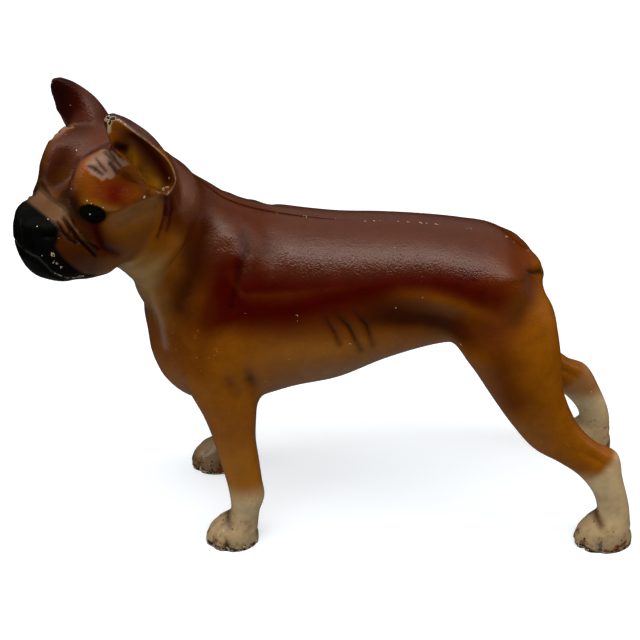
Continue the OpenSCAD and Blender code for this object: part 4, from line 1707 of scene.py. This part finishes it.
class Nodes:
    """Builds the nodes of a material or of the world."""

    def __init__(self, owner: bpy.types.Material | bpy.types.World, shader: str, place: str) -> None:
        """Finds the owner's shader and starts from where each point lies.

        Args:
            owner: The material or world.
            shader: Name of the shader that it starts with.
            place: Which coordinates say where a point lies.
        """
        owner.use_nodes = True
        self.tree = owner.node_tree
        self.shader = self.tree.nodes[shader]
        self.place = self.add("ShaderNodeTexCoord").outputs[place]

    def add(self, kind: str, **sockets: object) -> bpy.types.Node:
        """Adds a node.

        Args:
            kind: The node's type.
            sockets: Values for its inputs by name, with _ for a space.

        Returns:
            The node.
        """
        node = self.tree.nodes.new(kind)
        for name, value in sockets.items():
            self.feed(node.inputs[name.replace("_", " ")], value)
        return node

    def feed(self, socket: Socket, value: object) -> None:
        """Joins another node's output to an input, or sets its value.

        Args:
            socket: The input.
            value: An output, or the value.
        """
        if isinstance(value, Socket):
            self.tree.links.new(value, socket)
        else:
            socket.default_value = value

    def finish(self, **sockets: object) -> None:
        """Feeds the shader's inputs by name, with _ for a space."""
        for name, value in sockets.items():
            self.feed(self.shader.inputs[name.replace("_", " ")], value)

    def attribute(self, name: str, colour: bool = False) -> Socket:
        """Value of an attribute of the skin.

        Args:
            name: The attribute.
            colour: Whether it is a colour, not a number.

        Returns:
            The value.
        """
        node = self.add("ShaderNodeAttribute")
        node.attribute_name = name
        return node.outputs["Color" if colour else "Fac"]

    def noise(self, scale: float, detail: float = 3.0, rough: float = 0.5) -> Socket:
        """Noise with so many swells to the metre."""
        return self.add("ShaderNodeTexNoise", Vector=self.place, Scale=scale, Detail=detail,
                        Roughness=rough).outputs["Fac"]

    def specks(self, scale: float, size: Edge, few: Edge, pick: str) -> Socket:
        """Round specks in some cells of a pattern.

        Args:
            scale: How many cells to the metre.
            size: Distance from a cell's middle where a speck ends and where it is full, in cells.
            few: Chance, 0 to 1, above which a cell has a speck, and where it is full.
            pick: Which channel of the cells' colours is the chance.

        Returns:
            The specks' mask.
        """
        cells = self.add("ShaderNodeTexVoronoi", Vector=self.place, Scale=scale)
        chance = self.add("ShaderNodeSeparateColor", Color=cells.outputs["Color"]).outputs[pick]
        return self.math("MULTIPLY", self.step(cells.outputs["Distance"], *size), self.step(chance, *few))

    def near(self, place: Point, radius: float) -> Socket:
        """Mask of a small ball round a place.

        Args:
            place: Its middle, in metres.
            radius: Its radius, in metres; the mask is full within 0.6 of it.

        Returns:
            The mask.
        """
        node = self.add("ShaderNodeVectorMath")
        node.operation = "DISTANCE"
        self.feed(node.inputs[0], self.place)
        self.feed(node.inputs[1], place)
        return self.step(node.outputs["Value"], radius, 0.6 * radius)

    def math(self, kind: str, a: object, b: object) -> Socket:
        """Sum, product or another operation on two values.

        Args:
            kind: The operation.
            a: First value, a socket or a number.
            b: Second value, the same.

        Returns:
            The result.
        """
        node = self.add("ShaderNodeMath")
        node.operation = kind
        self.feed(node.inputs[0], a)
        self.feed(node.inputs[1], b)
        return node.outputs[0]

    def step(self, value: object, low: float, high: float) -> Socket:
        """Smooth step of a value.

        Args:
            value: The value.
            low: Where the step is 0.
            high: Where it is 1; it may be below low.

        Returns:
            The step, 0 to 1.
        """
        node = self.add("ShaderNodeMapRange", Value=value, From_Min=low, From_Max=high)
        node.interpolation_type = "SMOOTHSTEP"
        return node.outputs["Result"]

    def mix(self, share: object, a: object, b: object, blend: str = "MIX") -> Socket:
        """Mix of two colours.

        Args:
            share: Share of the second.
            a: First colour, a socket, a colour code or three shares.
            b: Second colour, the same.
            blend: How they mix.

        Returns:
            The mixed colour.
        """
        node = self.tree.nodes.new("ShaderNodeMix")
        node.data_type, node.blend_type = "RGBA", blend
        self.feed(node.inputs[0], share)
        for socket, value in ((node.inputs[6], a), (node.inputs[7], b)):
            value = tuple(linear(value)) if isinstance(value, str) else value
            self.feed(socket, (*value, 1.0) if isinstance(value, tuple) else value)
        return node.outputs[2]


@dataclass(frozen=True)
class Enamel:
    """Old paint over cast iron: mottled, chipped to primer and to bare iron, with a grainy gloss."""

    iron: str = "14110f"
    primer: str = "c9b592"
    dirt: str = "3c230d"
    rust: str = "6a3208"
    speckle: str = "a06a1c"
    rough: float = 0.21
    eye_rough: float = 0.06
    glints_and_chip: tuple[tuple[Point, float], ...] = ()
    # Colour of the painted highlights and of the one pale chip.
    spark: Point = (0.85, 0.75, 0.6)
    shade: Point = (0.55, 0.5, 0.45)
    mottle: float = 0.45
    grain: float = 0.75
    grain_height: float = 0.00025
    primer_edge: Edge = (0.74, 0.76)
    iron_edge: Edge = (0.80, 0.815)

    def material(self) -> bpy.types.Material:
        """The painted iron.

        Returns:
            The material, which reads the skin's paint, wear, grime, gloss and shine.
        """
        material = bpy.data.materials.new("enamel")
        n = Nodes(material, "Principled BSDF", "Object")
        chip = n.math("ADD", n.noise(420.0, 4.0, 0.6), n.math("MULTIPLY", n.attribute("wear"), 0.5))
        bare = n.step(chip, *self.iron_edge)
        colour = self.dirty(n, n.attribute("grime"))
        colour = n.mix(n.step(chip, *self.primer_edge), colour, self.primer)
        colour = n.mix(bare, colour, self.iron)
        colour = self.specked(n, colour, n.attribute("grime"))
        gloss = n.attribute("gloss")
        rough = n.math("ADD", n.math("MULTIPLY", n.noise(300.0, 3.0), 0.12), self.rough - 0.06)
        rough = n.math("ADD", rough, n.math("MULTIPLY", bare, 0.2))
        rough = n.math("ADD", rough, n.math("MULTIPLY", gloss, self.eye_rough - self.rough))
        height = n.math("ADD", n.noise(1500.0, 1.0), n.math("MULTIPLY", n.noise(260.0, 2.0), 0.7))
        height = n.math("SUBTRACT", height, n.math("MULTIPLY", bare, 1.5))
        grain = n.math("SUBTRACT", self.grain, n.math("MULTIPLY", gloss, self.grain))
        bump = n.add("ShaderNodeBump", Strength=grain, Distance=self.grain_height, Height=height)
        n.finish(Base_Color=colour, Roughness=rough, Specular_IOR_Level=n.attribute("shine"),
                 Normal=bump.outputs["Normal"])
        return material

    def dirty(self, n: Nodes, grime: Socket) -> Socket:
        """The paint, mottled, with a film of dirt, rust stains and pits.

        Args:
            n: The material's nodes.
            grime: How dirty each place is.

        Returns:
            The colour.
        """
        mottle = n.step(n.noise(140.0, 5.0, 0.65), 0.3, 0.75)
        paint, share = n.attribute("paint", True), n.math("MULTIPLY", mottle, self.mottle)
        colour = n.mix(share, paint, self.shade, "MULTIPLY")
        film = n.math("MULTIPLY", grime, n.step(n.noise(170.0, 5.0, 0.65), 0.45, 0.8))
        colour = n.mix(film, colour, self.dirt)
        rust = n.math("MULTIPLY", n.step(grime, 0.65, 0.95), n.step(n.noise(150.0, 4.0, 0.6), 0.5, 0.64))
        colour = n.mix(rust, colour, self.rust)
        pit = n.specks(520.0, (0.3, 0.15), (0.72, 0.78), "Red")
        return n.mix(n.math("MULTIPLY", pit, n.step(grime, 0.2, 0.7)), colour, self.iron)

    def specked(self, n: Nodes, colour: Socket, grime: Socket) -> Socket:
        """A colour with gold dots where there is a little dirt, pale specks and the sparks of light.

        Args:
            n: The material's nodes.
            colour: The colour below.
            grime: How dirty each place is.

        Returns:
            The colour.
        """
        dot = n.specks(620.0, (0.26, 0.14), (0.8, 0.86), "Green")
        little = n.math("MULTIPLY", n.step(grime, 0.03, 0.12), n.step(grime, 0.3, 0.2))
        colour = n.mix(n.math("MULTIPLY", dot, little), colour, self.speckle)
        colour = n.mix(n.specks(170.0, (0.07, 0.045), (0.92, 0.93), "Red"), colour, self.primer)
        # Painted highlights on the eye, brow and nose, and one pale chip, in the spark's colour.
        for place, radius in self.glints_and_chip:
            colour = n.mix(n.near(place, radius), colour, self.spark)
        return colour


@dataclass(frozen=True)
class ScrewSteel:
    """Dull machine screw with paint left on it."""

    steel: str = "6f6a62"
    paint: str = "4a1208"
    rough: float = 0.42

    def material(self) -> bpy.types.Material:
        """The screws' steel.

        Returns:
            The material.
        """
        material = bpy.data.materials.new("steel")
        n = Nodes(material, "Principled BSDF", "Object")
        left = n.step(n.noise(500.0, 4.0), 0.42, 0.5)
        n.finish(Base_Color=n.mix(left, self.steel, self.paint), Metallic=n.math("SUBTRACT", 1.0, left),
                 Roughness=n.math("ADD", n.math("MULTIPLY", left, 0.15), self.rough))
        return material


@dataclass(frozen=True)
class SoftBox:
    """A soft box that lights the object without showing in its gloss; places and sizes in metres."""

    name: str
    place: Point
    size: Edge
    watts: float
    looks_at: Point = (0.0, 0.0, 0.09)

    def build(self) -> None:
        """Adds the light."""
        data = bpy.data.lights.new(self.name, "AREA")
        data.shape = "RECTANGLE"
        data.size, data.size_y = self.size
        data.energy = self.watts
        lamp = bpy.data.objects.new(self.name, data)
        lamp.location = self.place
        lamp.rotation_euler = (Vector(self.looks_at) - Vector(self.place)).to_track_quat("-Z", "Y").to_euler()
        lamp.visible_glossy = False
        bpy.context.scene.collection.objects.link(lamp)


@dataclass(frozen=True)
class Studio:
    """Camera, lights and floor."""

    azimuth: float = -5.0
    elevation: float = 32.0
    roll: float = 1.8
    distance: float = 720.0
    target: Point = (-10.35, 1.9, 93.77)
    pixels_per_mm: float = 2.385
    frame_px: float = 640.0
    sensor: float = 36.0
    floor_colour: Point = (0.72, 0.84, 0.95)
    floor_glow: float = 0.4
    floor_reach: float = 6.0
    tent_colour: Point = (1.0, 0.88, 0.79)
    tent_deg: tuple[float, ...] = (0, 62.5, 66, 71, 84, 99, 117, 148, 180)
    tent_light: tuple[float, ...] = (0.0, 0.0, 4.3, 4.2, 2.4, 1.15, 0.55, 0.35, 0.2)
    below_edge: Edge = (-0.35, -0.95)
    below_light: float = 0.15
    lamps: tuple[SoftBox, ...] = (SoftBox("fill", (-0.3, -1.1, 0.9), (1.6, 1.0), 9.0),
                                  SoftBox("bounce", (0.0, -0.2, -0.6), (1.5, 1.0), 3.2))

    def camera(self) -> None:
        """Sets the camera where the photograph was taken from."""
        a, e, q = (math.radians(v) for v in (self.azimuth, self.elevation, self.roll))
        back = Vector((math.sin(a) * math.cos(e), -math.cos(a) * math.cos(e), math.sin(e)))
        right = Vector((math.cos(a), math.sin(a), 0.0))
        up = back.cross(right)
        r = right * math.cos(q) + up * math.sin(q)
        u = up * math.cos(q) - right * math.sin(q)
        data = bpy.data.cameras.new("camera")
        data.sensor_width = self.sensor
        data.lens = self.sensor * self.pixels_per_mm * self.distance / self.frame_px
        data.clip_start, data.clip_end = 0.01, 20.0
        view = bpy.data.objects.new("camera", data)
        turn = Matrix((r, u, back)).transposed().to_4x4()
        place = (Vector(self.target) + back * self.distance) * MM
        view.matrix_world = Matrix.Translation(place) @ turn
        bpy.context.scene.collection.objects.link(view)
        bpy.context.scene.camera = view

    def floor(self) -> None:
        """Lays the pale floor."""
        mesh = bpy.data.meshes.new("floor")
        s = self.floor_reach
        mesh.from_pydata([(-s, -s, 0), (s, -s, 0), (s, s, 0), (-s, s, 0)], [], [(0, 1, 2, 3)])
        piece = bpy.data.objects.new("floor", mesh)
        bpy.context.scene.collection.objects.link(piece)
        mat = bpy.data.materials.new("floor")
        mat.use_nodes = True
        shader = mat.node_tree.nodes["Principled BSDF"]
        shader.inputs["Base Color"].default_value = (*self.floor_colour, 1.0)
        shader.inputs["Roughness"].default_value = 0.9
        shader.inputs["Specular IOR Level"].default_value = 0.1
        shader.inputs["Emission Color"].default_value = (1.0, 1.0, 1.0, 1.0)
        shader.inputs["Emission Strength"].default_value = self.floor_glow
        mesh.materials.append(mat)
        piece.visible_glossy = piece.visible_diffuse = piece.visible_shadow = False

    def build(self) -> None:
        """Sets up the whole studio."""
        scene = bpy.context.scene
        scene.view_settings.view_transform = "Standard"
        scene.world = self.world()
        self.camera()
        self.floor()
        for lamp in self.lamps:
            lamp.build()

    def world(self) -> bpy.types.World:
        """The white tent, brightest at its near edge overhead, and the light that the table throws back.

        Returns:
            The world, its light given by the angle over the object from the camera's side to the far side.
        """
        world = bpy.data.worlds.new("studio")
        n = Nodes(world, "Background", "Generated")
        way = n.add("ShaderNodeSeparateXYZ", Vector=n.place).outputs
        angle = n.math("ARCTAN2", way["Z"], n.math("MULTIPLY", way["Y"], -1.0))
        tent = n.add("ShaderNodeFloatCurve", Value=n.math("DIVIDE", angle, math.pi))
        curve, most = tent.mapping.curves[0], max(self.tent_light)
        while len(curve.points) < len(self.tent_deg):
            curve.points.new(0.5, 0.5)
        for point, deg, light in zip(curve.points, self.tent_deg, self.tent_light):
            point.location = (deg / 180.0, light / most)
            point.handle_type = "VECTOR"
        tent.mapping.update()
        below = n.math("MULTIPLY", n.step(way["Z"], *self.below_edge), self.below_light / most)
        light = n.math("ADD", tent.outputs["Value"], below)
        n.finish(Color=(*self.tent_colour, 1.0), Strength=n.math("MULTIPLY", light, most))
        return world


def main() -> None:
    """Builds the studio and the pieces, in order."""
    Studio().build()
    bend, steel = Bend(), ScrewSteel().material()
    points, radii = zip(*Relief().glints_and_chip)
    places = (bend.carry(np.array(points)) * MM).tolist()
    enamel = Enamel(glints_and_chip=tuple((tuple(p), r * MM) for p, r in zip(places, radii))).material()
    for side, node in ((Side.LEFT, "left_half"), (Side.RIGHT, "right_half")):
        HalfCasting(side, node, bend, enamel).build()
    for node in ("shoulder_screw", "hip_screw"):
        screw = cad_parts[node]
        screw.data.materials.clear()
        screw.data.materials.append(steel)
        log.info("%s: finished in steel", node)


if __name__ == "__main__":
    main()
